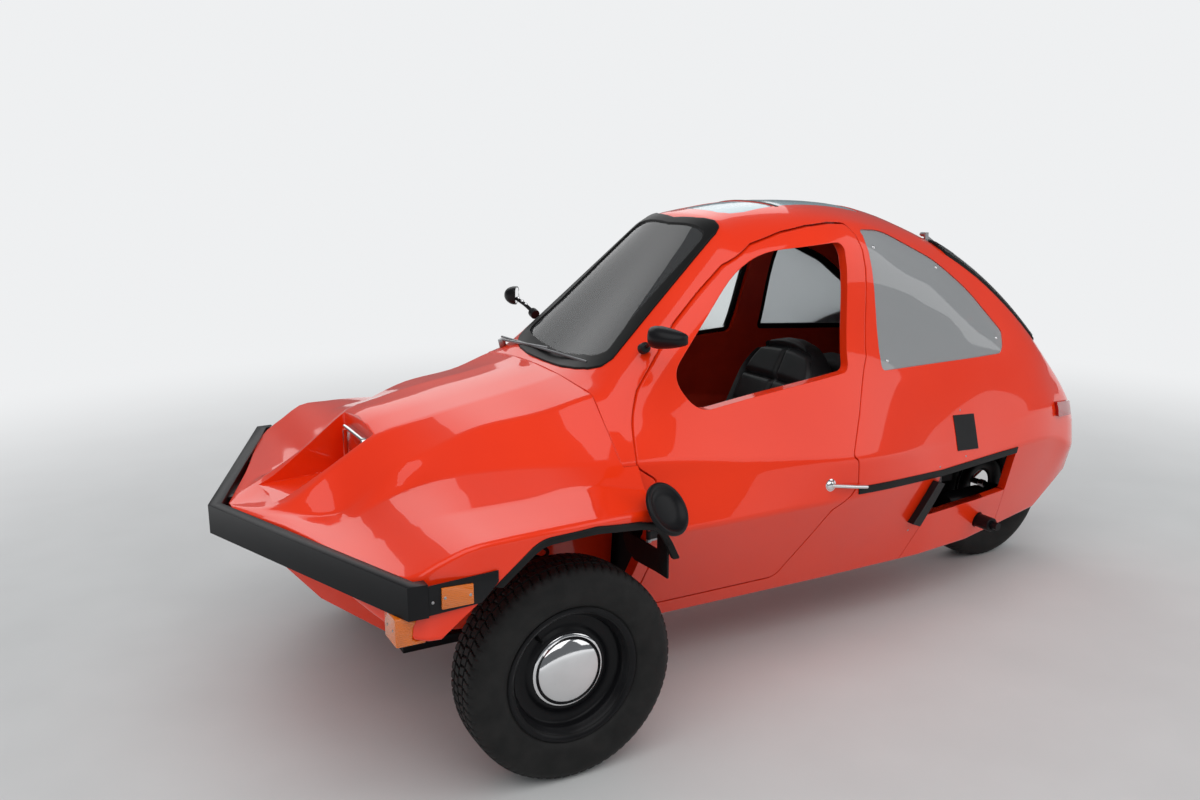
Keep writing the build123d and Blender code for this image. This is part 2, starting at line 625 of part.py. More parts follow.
# Front bumper: box section bent to a shallow V in plan, with a short return at each end
BUMPER_LOW = 531.0
BUMPER_TOP = 605.0
bumper_half = [(NOSE_REACH, 0), (424, 750), (380, 752), (380, 724), (402, 722), (661, 0)]
bumper = run_z(both_sides(bumper_half), BUMPER_LOW, BUMPER_TOP)
for side in (1, -1):
    for x, y in ((640, 90), (520, 400)):
        bumper = bumper + block(x - 60, x, side * y, side * (y + 30), 560, 590)
pieces["front_bumper"] = bumper - outer_nose
PLATE_Y = 747.0
PLATE_T = 3.0
plate = [(379.5, 600), (222, 606), (222, 580), (262, 540), (379.5, 534)]
lens = [(352, 592), (282, 590), (282, 545), (352, 545)]
signal = block(380, 446, 652, 728, 466, BUMPER_LOW - SEAT_GAP) - outer_nose
pieces["marker_plates"] = pair(run_y(plate, PLATE_Y, PLATE_Y + PLATE_T))
pieces["marker_lenses"] = pair(run_y(lens, PLATE_Y + PLATE_T, PLATE_Y + 9))
pieces["turn_signals"] = pair(signal)

# Single rectangular headlamp at the back of the scoop
LAMP_Z = 690.0
LAMP_BACK = SCOOP_BACK + SEAT_GAP


def lamp_face(half_w, half_h, radius):
    corners = [(half_w, half_h), (-half_w, half_h), (-half_w, -half_h), (half_w, -half_h)]
    return rounded([(y, LAMP_Z + z, radius) for y, z in corners])


bezel = run_x(lamp_face(95, 60, 14), LAMP_BACK, LAMP_BACK + 22)
pieces["headlight_bezel"] = bezel - run_x(lamp_face(83, 48, 8), LAMP_BACK - 1, LAMP_BACK + 30)
pieces["headlight_lens"] = run_x(lamp_face(82.7, 47.7, 8), LAMP_BACK, LAMP_BACK + 16)

# Rubber trim and flap round each front arch, and the dished disc behind each fender
TRIM_W = 18.0
TRIM_T = 12.0
trim_line = [(x, z) for x, z in arch_edge if x < 250 and z > 495]
lower_line = inset(trim_line + [(-200, 300), (200, 300)], TRIM_W)[: len(trim_line)]


def fender_y(x):
    return column(NOSE, lambda row: row[7], max(x, -264.0))[0]


trim_rings = []
for (x, z), (u, w) in zip(trim_line, lower_line):
    y = fender_y(x)
    gap = SEAT_GAP / TRIM_W
    x, z = x + (u - x) * gap, z + (w - z) * gap
    trim_rings.append([(x, y, z), (u, y, w), (u, y - TRIM_T, w), (x, y - TRIM_T, z)])
pieces["arch_trim"] = pair(tube(trim_rings))
FLAP_X = -270.0
FLAP_T = 5.7
flap_edge = [
    (420, 512), (420, 486), (438, 466), (480, 446), (589, 452), (641, 452), (641, 552), (592, 552),
    (592, 512),
]
pieces["mud_flaps"] = pair(run_x(flap_edge, FLAP_X, FLAP_X + FLAP_T))
DISC_R = 68.0
DISC_T = 10.0
disc_at = Vector(-246, 664, 640)
disc_way = Vector(-0.35, 0.74, 0.55).normalized()
dish = rod(tuple(disc_at), tuple(disc_at + disc_way * DISC_T), DISC_R, 24)
dish = dish + rod(tuple(disc_at), tuple(disc_at - disc_way * 60), 22)
dish = dish - outer_nose - outer
pieces["fender_discs"] = pair(dish)

# Tube frame under the floor
RAIL_Y = 150.0
RAIL_TOP = FLOOR_Z - SEAT_GAP
RAIL_H = 28.0
RAIL_BACK = PIVOT_X - 25.0
frame = block(260, RAIL_BACK, RAIL_Y - 20, RAIL_Y + 20, RAIL_TOP - RAIL_H, RAIL_TOP)
frame = pair(frame)
for x in (240, -250, REAR_X + 698, PIVOT_X - 5):
    frame = frame + block(x - 20, x + 20, -RAIL_Y, RAIL_Y, RAIL_TOP - RAIL_H, RAIL_TOP)
ARM_Y = 80.0
ARM_W = 17.0
for side in (1, -1):
    y = side * (ARM_Y + ARM_W + SEAT_GAP)
    frame = frame + block(PIVOT_X - 22, PIVOT_X + 22, y, y + side * 13, RAIL_TOP - RAIL_H, PIVOT_Z + 22)
for y in (120, -150):
    frame = frame + block(225, 255, y, y + 30, RAIL_TOP, 330)
pieces["chassis_frame"] = frame - tub_outer
REAR_SPINDLE_R = 11.0
ARM_END = ARM_Y + ARM_W
swing = rod((PIVOT_X, -ARM_END, PIVOT_Z), (PIVOT_X, ARM_END, PIVOT_Z), 16)
swing = swing + rod((REAR_X, -ARM_END, TYRE_R), (REAR_X, ARM_END, TYRE_R), REAR_SPINDLE_R)
arm = [
    (PIVOT_X + 18, PIVOT_Z - 16), (PIVOT_X + 18, PIVOT_Z + 16), (REAR_X, TYRE_R + 16),
    (REAR_X - 24, TYRE_R), (REAR_X, TYRE_R - 16),
]
for near, far in ((ARM_Y, ARM_END), (-ARM_END, -ARM_Y)):
    swing = swing + run_y(arm, near, far)
pieces["rear_swingarm"] = swing

# Front axle beam with an upright king pin at each end
SLEEVE_LOW = AXLE_TUBE_Z + AXLE_TUBE_R + 4.0
SLEEVE_TOP = KING_PIN_TOP - 10.0
beam = rod((0, -KING_PIN_Y, AXLE_TUBE_Z), (0, KING_PIN_Y, AXLE_TUBE_Z), AXLE_TUBE_R)
for y in (KING_PIN_Y, -KING_PIN_Y):
    beam = beam + rod((0, y, AXLE_TUBE_Z - 20), (0, y, SLEEVE_LOW - SEAT_GAP), 26)
    beam = beam + rod((0, y, AXLE_TUBE_Z), (0, y, KING_PIN_TOP), KING_PIN_R)
    beam = beam + rod((0, y, SLEEVE_TOP + SEAT_GAP), (0, y, KING_PIN_TOP), 22)
pieces["front_axle"] = beam

# Left knuckle: sleeve, spindle and steering arm
SLEEVE_R = 25.0
HUB_IN = HALF_TRACK - 40.0
HUB_OUT = HALF_TRACK + 14.0
SPINDLE_END = HUB_OUT + 12.0
ARM_Z = SLEEVE_LOW + 8.0
ROD_Z = ARM_Z - 8.0
knuckle = rod((0, KING_PIN_Y, SLEEVE_LOW), (0, KING_PIN_Y, SLEEVE_TOP), SLEEVE_R)
knuckle = knuckle + rod((0, KING_PIN_Y, TYRE_R), (0, HUB_IN - SEAT_GAP, TYRE_R), 24)
knuckle = knuckle + rod((0, KING_PIN_Y, TYRE_R), (0, SPINDLE_END, TYRE_R), SPINDLE_R)
arm_plan = [
    (14, KING_PIN_Y - 22), (STEER_ARM_X, STEER_ARM_Y - 13), (STEER_ARM_X - 14, STEER_ARM_Y),
    (STEER_ARM_X, STEER_ARM_Y + 13), (0, KING_PIN_Y + 22),
]
knuckle = knuckle + run_z(arm_plan, ARM_Z, ARM_Z + 14)
knuckle = knuckle + rod((STEER_ARM_X, STEER_ARM_Y, ARM_Z - 14), (STEER_ARM_X, STEER_ARM_Y, ARM_Z + 1), TIE_PIN_R)
knuckle = knuckle - bore((0, KING_PIN_Y, 0), (0, KING_PIN_Y, 600), KING_PIN_R + RUNNING_FIT)
pieces["knuckle_left"] = knuckle
pieces["knuckle_right"] = mirror_y(knuckle)
tie = rod((STEER_ARM_X, -STEER_ARM_Y, ROD_Z), (STEER_ARM_X, STEER_ARM_Y, ROD_Z), 6.5)
for y in (STEER_ARM_Y, -STEER_ARM_Y):
    tie = tie + rod((STEER_ARM_X, y, ARM_Z - 15), (STEER_ARM_X, y, ARM_Z - SEAT_GAP), 14)
for y in (STEER_ARM_Y, -STEER_ARM_Y):
    tie = tie - bore((STEER_ARM_X, y, 100), (STEER_ARM_X, y, 600), TIE_PIN_R + RUNNING_FIT)
pieces["tie_rod"] = tie


# Wheels, turned about their axles, with the outer side towards the end of the profile
def tyre():
    half = TYRE_W / 2
    bead = RIM_W / 2 - RIM_SHEET - SEAT_GAP
    side = [
        (RIM_R + SEAT_GAP, bead), (RIM_LIP_R + 3, bead), (RIM_LIP_R + 8, half - 8),
        (222, half), (250, half - 6), (TYRE_R - 4, 52), (TYRE_R, 40),
    ]
    return turned(side + [(r, -y) for r, y in reversed(side)])


def rim(spindle_r, hub_in, hub_out):
    half = RIM_W / 2
    t = RIM_SHEET
    hole = (spindle_r + RUNNING_FIT) / cos(pi / WHEEL_SIDES)
    profile = [
        (RIM_LIP_R, -half), (RIM_LIP_R, -half + t), (RIM_R, -half + t), (RIM_R, half - t),
        (RIM_LIP_R, half - t), (RIM_LIP_R, half), (RIM_R - t, half), (RIM_R - t, 16),
        (106, 16), (96, 26), (60, 26), (46, hub_out), (hole, hub_out),
        (hole, hub_in), (HUB_R, hub_in), (HUB_R, 10), (RIM_R - t, 9), (RIM_R - t, -half),
    ]
    return turned(profile)


def hub_cap(base):
    """Domed cap of even wall, from its rim to its middle."""
    outside, inside = [], []
    steps = 3
    for k in range(steps + 1):
        t = pi / 2 * k / steps
        outside.append((HUB_CAP_R * cos(t), base + HUB_CAP_RISE * sin(t)))
        inside.append(((HUB_CAP_R - HUB_CAP_WALL) * cos(t), base + (HUB_CAP_RISE - HUB_CAP_WALL) * sin(t)))
    outside[-1] = (0.0, outside[-1][1])
    inside[-1] = (0.0, inside[-1][1])
    return turned(outside + inside[::-1])


TO_AXLE = Rot(-90, 0, 0)
front_rim = rim(SPINDLE_R, HUB_IN - HALF_TRACK, HUB_OUT - HALF_TRACK)
rear_rim = rim(REAR_SPINDLE_R, 10 - ARM_Y, ARM_Y - 50)
CAP_BASE = 26.0 + SEAT_GAP
tyre_shape = tyre()
cap_shape = hub_cap(CAP_BASE)
for name, x, y in (("front_left", 0, HALF_TRACK), ("front_right", 0, -HALF_TRACK), ("rear", REAR_X, 0)):
    place = Pos(x, y, TYRE_R) * Rot(0, 0, 180 if y < 0 else 0) * TO_AXLE
    pieces["tyre_" + name] = place * tyre_shape
    pieces["rim_" + name] = place * (rear_rim if name == "rear" else front_rim)
    if name != "rear":
        pieces["hub_cap_" + name] = place * cap_shape

# Engine, exhaust, seat and steering wheel
INNER_FLOOR = FLOOR_Z + WALL + SEAT_GAP
engine = block(REAR_X + 378, REAR_X + 636, -180, 150, INNER_FLOOR, 500)
shroud = rod((REAR_X + 470, 149, 380), (REAR_X + 470, 195, 380), 92, 24)
pieces["engine_block"] = engine + shroud
PIPE_X = REAR_X + 318.0
PIPE_Z = 266.0
PIPE_R = 13.0
MUFFLER_Y = 176.0
muffler = rod((REAR_X + 348, MUFFLER_Y, 280), (REAR_X + 168, MUFFLER_Y - 12, 280), 44)
foot = block(REAR_X + 240, REAR_X + 270, MUFFLER_Y - 25, MUFFLER_Y + 5, FLOOR_Z + 10, 262) - shell
pieces["exhaust"] = muffler + rod((PIPE_X, MUFFLER_Y - 6, PIPE_Z), (PIPE_X, 366, PIPE_Z), PIPE_R) + foot
pieces["engine_side_panel"] = engine_panel - rod((PIPE_X, 100, PIPE_Z), (PIPE_X, 500, PIPE_Z), PIPE_R + 14)
SEAT_TOP = 300.0
pieces["seat_base"] = block(-1060, -700, -200, 200, INNER_FLOOR, SEAT_TOP)
cushion = [(-1090, -215, 50), (-680, -215, 50), (-680, 215, 50), (-1090, 215, 50)]
pieces["seat_cushion"] = run_z(rounded(cushion), SEAT_TOP + SEAT_GAP, SEAT_TOP + 100)
back_edge = [(-205, -260, 40), (-205, 120, 260), (0, 300, 300), (205, 120, 260), (205, -260, 40)]
back = run_x(rounded(back_edge, 4), -45, 45)
pieces["seat_back"] = Pos(-1165, 0, 650) * Rot(0, -14, 0) * back
COLUMN_TILT = 30.0
aim = Vector(-cos(radians(COLUMN_TILT)), 0, sin(radians(COLUMN_TILT)))
root_point = Vector(-390, 0, 752)
wheel_point = root_point + aim * 136
pieces["steering_column"] = rod(tuple(root_point), tuple(wheel_point), 22) - pieces["dashboard"]
wheel_plane = Plane(origin=wheel_point + aim * SEAT_GAP, z_dir=aim)
GRIP_R = 165.0
GRIP_T = 11.0
grip = [(GRIP_R + GRIP_T * cos(t), 12 + GRIP_T * sin(t)) for t in [pi * k / 4 for k in range(8)]]
steering = turned(grip, 32) + rod((0, 0, 0), (0, 0, 20), 34)
for turn in (90, 210, 330):
    steering = steering + Rot(0, 0, turn) * Pos(95, 0, 12) * Box(140, 24, 6)
pieces["steering_wheel"] = wheel_plane * steering

# Door furniture
HINGE_PIN_R = 3.5
HINGE_KNUCKLE_R = 7.0
HINGE_FOOT_H = 8.0
HINGE_H = 30.0
DOOR_FRONT_X = -313.0
foot_plan = [(HINGE_X, HINGE_Y - 34), (HINGE_X, HINGE_Y), (-292, 552), (-292, 522)]
leaf_plan = [
    (HINGE_X - 3, HINGE_Y - 5), (HINGE_X, HINGE_Y + HINGE_KNUCKLE_R - 1), (-350, 556), (-350, 510),
    (DOOR_FRONT_X + 2, 510), (DOOR_FRONT_X + 2, HINGE_Y - 5),
]
pins = Part()
sleeves = Part()
for low in (520.0, 590.0):
    seat = low + HINGE_FOOT_H
    top = low + HINGE_H
    pins = pins + rod((HINGE_X, HINGE_Y, low), (HINGE_X, HINGE_Y, top), HINGE_PIN_R)
    pins = pins + rod((HINGE_X, HINGE_Y, low), (HINGE_X, HINGE_Y, seat), HINGE_KNUCKLE_R)
    pins = pins + run_z(foot_plan, low, seat)
    sleeves = sleeves + rod((HINGE_X, HINGE_Y, seat + SEAT_GAP), (HINGE_X, HINGE_Y, top), HINGE_KNUCKLE_R)
    sleeves = sleeves + run_z(leaf_plan, seat + SEAT_GAP, top)
sleeves = sleeves - bore((HINGE_X, HINGE_Y, 400), (HINGE_X, HINGE_Y, 800), HINGE_PIN_R + RUNNING_FIT)
pieces["hinge_pins"] = pins - outer
pieces["hinge_sleeves"] = sleeves - body_tube(-SEAT_GAP, -600, COWL_X)
handle = rod((-874, 496, 562), (-874, 516, 562), 22)
handle = handle + rod((-874, 512, 562), (-1000, 519, 540), 8)
pieces["door_handle"] = handle - outer

# Mirrors: oblong heads that taper outwards, round in front, with the glass behind
MIRROR_AT = (-340, 418, 1012)     # inner end of the head, on the plane of its glass
MIRROR_SWEEP = 30.0               # degrees that the head's long side leans back
MIRROR_ROWS = [(0, 16, 8), (8, 25, 24), (36, 29, 40), (76, 23, 36), (104, 15, 24), (110, 11, 12)]
along = (-sin(radians(MIRROR_SWEEP)), cos(radians(MIRROR_SWEEP)))
front = (cos(radians(MIRROR_SWEEP)), sin(radians(MIRROR_SWEEP)))
mirror_rings = []
for reach, half_h, depth in MIRROR_ROWS:
    arc = [(0, 1), (0.55, 0.88), (0.9, 0.5), (1, 0), (0.9, -0.5), (0.55, -0.88), (0, -1)]
    mirror_rings.append([
        (
            MIRROR_AT[0] + along[0] * reach + front[0] * depth * p,
            MIRROR_AT[1] + along[1] * reach + front[1] * depth * p,
            MIRROR_AT[2] + half_h * q,
        )
        for p, q in arc
    ])
mirror_base = rod((-372, 330, 962), (-366, 362, 974), 15)
mirror_arm = rod((-370, 350, 970), (-352, 446, 1006), 6)
pieces["mirrors"] = pair((mirror_base + mirror_arm + tube(mirror_rings)) - outer)

# Outer trim
STRIP_PROUD = 3.0


def strip_edge(front):
    line = [(front, 528)] + STRIP_MIDDLE[1:] if front > STRIP_FRONT else STRIP_MIDDLE[1:]
    high = [(x, z + STRIP_HALF_H) for x, z in line]
    low = [(x, z - STRIP_HALF_H) for x, z in line]
    return high + low[::-1]


strip_layer = layer(-STRIP_PROUD, -0.01, STRIP_BACK - 60, -280)
strips = strip_layer & run_y(strip_edge(STRIP_FRONT), 200, 700)
pieces["waist_strips"] = strips + (strip_layer & run_y(strip_edge(STRIP_RIGHT_FRONT), -700, -200))
LATCH_PROUD = 24.0
latch_layer = layer(-LATCH_PROUD, -SEAT_GAP, REAR_X + 560, REAR_X + 760)
pieces["engine_latch"] = latch_layer & run_y([p[:2] for p in from_rear(LATCH)], 200, 600)
MARKER_PROUD = 12.0
marker_layer = layer(-MARKER_PROUD, -SEAT_GAP, REAR_X - 230, REAR_X)
rear_markers = marker_layer & run_y(rounded(from_rear(REAR_MARKER)), 100, 400)
pieces["rear_marker_lamps"] = pair(rear_markers)
wiper_foot = rod((-250, -310, 868), (-243, -310, 900), 11) - body_tube(-SEAT_GAP, -330, COWL_X)
wiper = rod((-246, -310, 898), (-272, -40, 914), 4, 8) + rod((-258, -340, 902), (-274, 200, 914), 4, 8)
pieces["wiper"] = wiper_foot + (wiper - body_tube(-SCREEN_SEAL_PROUD - SEAT_GAP, -330, COWL_X))
PAD_W = 80.0
pieces["rear_bumper"] = block(-TAIL_REACH, TAIL_X - SEAT_GAP, -PAD_W, PAD_W, 385, 450)

os.makedirs("parts", exist_ok=True)
for name, shape in pieces.items():
    print(name, len(shape.solids()), round(shape.volume / 1e6, 3), shape.is_valid)
    export_step(Pos(SHIFT_X, 0, 0) * shape, f"parts/{name}.step")
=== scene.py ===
"""Looks of the three-wheeled microcar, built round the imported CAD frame.

Measures inside the tables are millimetres from the front axle, as in the CAD source:
x forward, y to the left, z up. place() turns them into metres of the shared frame.
"""
import json
import math

import bmesh
import bpy
import numpy as np
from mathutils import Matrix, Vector
from mathutils.bvhtree import BVHTree


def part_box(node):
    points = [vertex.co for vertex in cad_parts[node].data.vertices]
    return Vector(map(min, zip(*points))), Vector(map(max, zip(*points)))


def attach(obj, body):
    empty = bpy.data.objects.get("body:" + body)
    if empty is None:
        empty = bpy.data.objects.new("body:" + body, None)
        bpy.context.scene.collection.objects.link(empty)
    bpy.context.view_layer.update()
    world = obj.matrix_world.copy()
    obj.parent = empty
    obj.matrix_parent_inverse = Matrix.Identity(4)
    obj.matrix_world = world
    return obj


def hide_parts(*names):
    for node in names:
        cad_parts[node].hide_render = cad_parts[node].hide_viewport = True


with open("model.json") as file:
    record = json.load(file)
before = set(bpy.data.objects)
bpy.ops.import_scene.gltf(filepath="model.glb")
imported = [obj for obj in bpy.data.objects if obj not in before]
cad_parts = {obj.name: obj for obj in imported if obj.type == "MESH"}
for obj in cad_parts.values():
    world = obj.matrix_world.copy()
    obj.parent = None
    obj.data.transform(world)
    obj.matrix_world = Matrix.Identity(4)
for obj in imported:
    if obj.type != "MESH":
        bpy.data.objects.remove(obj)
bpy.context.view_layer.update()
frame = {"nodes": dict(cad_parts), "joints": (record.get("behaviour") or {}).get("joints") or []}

NODES = frame["nodes"]
JOINTS = {joint["name"]: joint for joint in frame["joints"]}
MM = 0.001
AXLE_X = JOINTS["spin_front_left"]["pos_m"][0]
WHEEL_Z = JOINTS["spin_rear"]["pos_m"][2] / MM
REAR_X = (JOINTS["spin_rear"]["pos_m"][0] - AXLE_X) / MM
HALF_TRACK = JOINTS["spin_front_left"]["pos_m"][1] / MM
SIDES = ((1, "left"), (-1, "right"))

# Body walls, mm, as in the CAD
# Body walls, mm, as in the CAD
WALL = 30.0
SKIN = 12.0
SHUT_GAP = 5.0
SEAT_GAP = 0.3
PANE_STEP = 2.0
REBATE = 8.0
GLASS = 5.0
SEAL_W = 15.0
SEAL_DEPTH = 14.0
SCREEN_SEAL_PROUD = 5.0
HATCH_SEAL_PROUD = 7.0
COWL_X = -215.0
POST_X = -270.0
DOOR_LEAN = math.tan(math.radians(24.0))
DOOR_PLANE_Y = 450.0
DOOR_CORNER_R = 16.0
CREASE_R = 12.0
ROW_EASE = 26.0

# Body stations: x, floor z, then (y, z) at sill, low crease, door crease, upper crease, belt,
# rail and roof edge, and the top z
BODY = [
    (-215, 200, (329, 200), (550, 531), (515, 669), (499, 717), (420, 790), (343, 858), (262, 868), 882),
    (-270, 200, (330, 200), (549, 530), (512, 666), (500, 712), (428, 790), (352, 868), (275, 897), 890),
    (-680, 200, (334, 200), (522, 517), (504, 637), (498, 663), (398, 862), (302, 1180), (208, 1252), 1284),
    (-1000, 200, (336, 200), (498, 510), (498, 610), (496, 624), (398, 862), (280, 1262), (180, 1300), 1318),
    (
        REAR_X + 598, 200, (330, 200), (418, 506), (405, 578), (404, 588), (348, 835),
        (222, 1178), (150, 1228), 1256,
    ),
    (
        REAR_X + 358, 200, (298, 200), (367, 504), (357, 578), (356, 588), (308, 832),
        (206, 1064), (172, 1112), 1128,
    ),
    (
        REAR_X - 72, 212, (196, 214), (272, 490), (265, 580), (264, 590), (226, 690),
        (196, 752), (172, 776), 792,
    ),
    (
        REAR_X - 238, 300, (176, 322), (206, 430), (197, 510), (196, 520), (166, 592),
        (130, 628), (100, 640), 648,
    ),
    (REAR_X - 332, 356, (84, 366), (112, 440), (107, 490), (106, 500), (84, 540), (60, 556), (40, 562), 566),
]
BODY_SHARP_ROWS = (-270, -680)

# Nose stations: x, then (y, z) at centre, scoop ridge, three creases, shoulder and skirt foot
NOSE = [
    (640, (0, 598), (10, 598), (14, 597), (18, 596), (21, 595), (24, 594), (26, 560)),
    (556, (0, 606), (112, 612), (150, 608), (190, 606), (220, 604), (256, 602), (270, 552)),
    (405, (0, 712), (132, 698), (238, 622), (300, 617), (470, 612), (700, 604), (736, 478)),
    (350, (0, 756), (142, 736), (262, 670), (316, 648), (505, 640), (722, 632), (744, 470)),
    (290, (0, 795), (152, 774), (284, 716), (330, 676), (540, 668), (744, 662), (746, 470)),
    (205, (0, 812), (153, 796), (293, 755), (392, 712), (570, 682), (742, 668), (744, 470)),
    (100, (0, 826), (155, 818), (302, 795), (430, 724), (585, 690), (735, 668), (738, 470)),
    (-100, (0, 860), (150, 852), (322, 826), (474, 720), (560, 690), (695, 654), (704, 470)),
    (-214, (0, 880), (150, 876), (342, 858), (498, 716), (565, 668), (655, 638), (668, 470)),
    (-264, (0, 888), (150, 890), (348, 868), (500, 712), (566, 660), (640, 632), (654, 470)),
]

# Outlines: side view (x, z, corner radius), or half plan (x, y) from the centre line
DOOR = [
    (-318, 372, 868), (-393, 345, 947), (-463, 323, 1018), (-552, 298, 1096), (-639, 286, 1165),
    (-734, 266, 1217), (-833, 250, 1246), (-919, 250, 1260), (-1010, 262, 1266), (-1080, 262, 1262),
    (-1090, 281, 1200), (-1092, 382, 884), (-1024, 446, 733), (-965, 494, 631), (-982, 497, 617),
    (-985, 499, 546), (-960, 500, 520), (-899, 487, 479), (-803, 372, 265), (-783, 366, 255),
    (-330, 366, 255), (-308, 395, 300), (-308, 543, 530), (-308, 530, 600), (-308, 513, 661),
    (-250, 502, 702), (-283, 429, 790),
]
DOOR_WINDOW = [(-424, 893, 110), (-482, 798, 110), (-1012, 851, 26), (-1034, 1214, 30), (-705, 1192, 310)]
RIGHT_WINDOW = [(-424, 893, 110), (-482, 798, 110), (-1128, 846, 26), (-1196, 1206, 30), (-705, 1192, 310)]
PANE_BACK = [(-1758, 819, 45), (-1778, 884, 25), (-1640, 1024, 500), (-1480, 1132, 500)]
PANE_LEFT = [(-1128, 1241, 14), (-1150, 837, 20)] + PANE_BACK + [(-1240, 1233, 400)]
PANE_RIGHT = [(-1242, 1228, 14), (-1215, 837, 20)] + PANE_BACK
HOLE_BACK = [(-1650, 830, 40), (-1672, 880, 30), (-1560, 1010, 400), (-1440, 1100, 300)]
HOLE_LEFT = [(-1140, 1205, 20), (-1160, 849, 24)] + HOLE_BACK + [(-1240, 1196, 300)]
HOLE_RIGHT = [(-1252, 1190, 20), (-1226, 849, 24)] + HOLE_BACK
ARCH = [
    (372, 430, 0), (352, 474, 60), (230, 568, 60), (117, 653, 90), (-34, 649, 90), (-169, 625, 80),
    (-225, 608, 30), (-250, 585, 30), (-272, 550, 30), (-294, 504, 0), (-294, 430, 0),
]

# The same with x from the rear axle
ENGINE_OPEN = [(614, 490, 8), (190, 488, 8), (190, 350, 6), (621, 355, 8)]
ENGINE_PANEL = [(621, 355, 6), (190, 350, 6), (190, 190, 0), (694, 190, 0)]
LATCH = [(708, 347, 0), (668, 330, 0), (612, 470, 0), (650, 484, 0)]
REAR_MARKER = [(-54, 619, 6), (-187, 599, 6), (-171, 556, 6), (-60, 568, 6)]
HATCH = [(430, 0), (430, 155), (412, 175), (-14, 188), (-32, 168), (-32, 0)]
SCREEN_OUT = [
    (-239, 0), (-238, 105), (-247, 178), (-261, 230), (-284, 266), (-312, 277), (-348, 270), (-453, 251),
    (-602, 226), (-672, 215), (-694, 200), (-699, 168), (-680, 103), (-668, 0),
]
SCREEN_IN = [
    (-286, 0), (-286, 120), (-291, 190), (-300, 222), (-318, 240), (-366, 226), (-405, 216), (-479, 209),
    (-567, 204), (-640, 196), (-654, 178), (-657, 150), (-656, 101), (-651, 0),
]
ROOF_FRONT = [(-752, 0), (-753, 100), (-772, 134), (-813, 147), (-858, 142), (-925, 140), (-925, 0)]
ROOF_REAR = [(-936, 0), (-936, 140), (-1240, 134), (-1268, 118), (-1270, 0)]
FENDER_BACK = [(-262, 720), (-235, 640), (-266, 569), (-290, 560), (-420, 560), (-420, 1000), (-262, 1000)]
SCOOP = [(570, 84, 10), (300, 136, 10), (300, -136, 10), (570, -84, 10)]
SCOOP_FLOOR = 612.0
SCOOP_WALL = 9.0
STRIP_LINE = [(-985, 528), (-1386, 500), (REAR_X + 190, 496)]
STRIP_HALF_H = 11.0
ROOF_JOINT = [(-936, -147), (-925, -147), (-925, 147), (-936, 147)]
VENT = [(-1457, 665), (-1563, 655), (-1582, 542), (-1472, 553)]

# Reach of the cutting prisms across each side and upwards, and how far each layer of the body runs in x
LEFT_REACH, RIGHT_REACH = (60, 620), (-620, -60)
TALL, TALLER = (640, 1400), (600, 1500)
SCREEN_SPAN = (-760, COWL_X)
ROOF_SPAN = (-1400, -690)
HATCH_SPAN = (REAR_X - 120, REAR_X + 500)
WINDOW_SPAN = (-1300, -300)
QUARTER_SPAN = (-1880, -1040)


def place(points):
    """Millimetres from the front axle to metres of the frame."""
    array = np.array(points, float) * MM
    array[..., 0] += AXLE_X
    return array


# Curves through table values
def slopes(xs, ys):
    """Slopes of a smooth curve through the points, straight where there are only two."""
    rates = np.diff(ys, axis=0) / np.diff(xs)[:, None]
    if len(xs) == 2:
        return np.array([rates[0], rates[0]])
    spans = np.diff(xs)
    inner = [
        (spans[i] * rates[i - 1] + spans[i - 1] * rates[i]) / (spans[i - 1] + spans[i])
        for i in range(1, len(xs) - 1)
    ]
    first = (3 * rates[0] - inner[0]) / 2
    last = (3 * rates[-1] - inner[-1]) / 2
    return np.array([first] + inner + [last])


def through(xs, ys, x):
    """Value at x of the smooth curve through the points."""
    xs, ys = np.array(xs, float), np.array(ys, float)
    tangent = slopes(xs, ys)
    i = int(np.clip(np.searchsorted(xs, x) - 1, 0, len(xs) - 2))
    span = xs[i + 1] - xs[i]
    t = (x - xs[i]) / span
    a = 2 * t**3 - 3 * t**2 + 1
    b = t**3 - 2 * t**2 + t
    c = 3 * t**2 - 2 * t**3
    d = t**3 - t**2
    return a * ys[i] + b * span * tangent[i] + c * ys[i + 1] + d * span * tangent[i + 1]


def split_through(xs, ys, x, sharp, soft_r):
    """The same, with bends at the sharp stations, each eased over its radius."""
    for bend in sharp:
        if abs(x - bend) < soft_r:
            low, mid, high = (split_through(xs, ys, bend + k * soft_r, sharp, 0.0) for k in (-1, 0, 1))
            u = (x - bend + soft_r) / (2 * soft_r)
            return (1 - u) ** 2 * low + 2 * u * (1 - u) * mid + u * u * high
    cuts = [-np.inf] + sorted(sharp) + [np.inf]
    for low, high in zip(cuts, cuts[1:]):
        if low <= x <= high:
            keep = [i for i, v in enumerate(xs) if low <= v <= high]
            return through([xs[i] for i in keep], [ys[i] for i in keep], x)


def inset(points, depth):
    """Move each side of a closed polygon inwards by the depth."""
    pairs = list(zip(points, points[1:] + points[:1]))
    area = sum(a[0] * b[1] - b[0] * a[1] for a, b in pairs)
    turn = 1 if area > 0 else -1
    lines = []
    for (ay, az), (by, bz) in pairs:
        length = math.hypot(by - ay, bz - az)
        normal = (-turn * (bz - az) / length, turn * (by - ay) / length)
        lines.append((normal, normal[0] * ay + normal[1] * az + depth))
    moved = []
    for (n1, d1), (n2, d2), (y, z) in zip(lines[-1:] + lines[:-1], lines, points):
        cross = n1[0] * n2[1] - n1[1] * n2[0]
        if abs(cross) < 1e-3:
            moved.append((y + depth * n2[0], z + depth * n2[1]))
        else:
            moved.append(((d1 * n2[1] - d2 * n1[1]) / cross, (n1[0] * d2 - n2[0] * d1) / cross))
    return moved


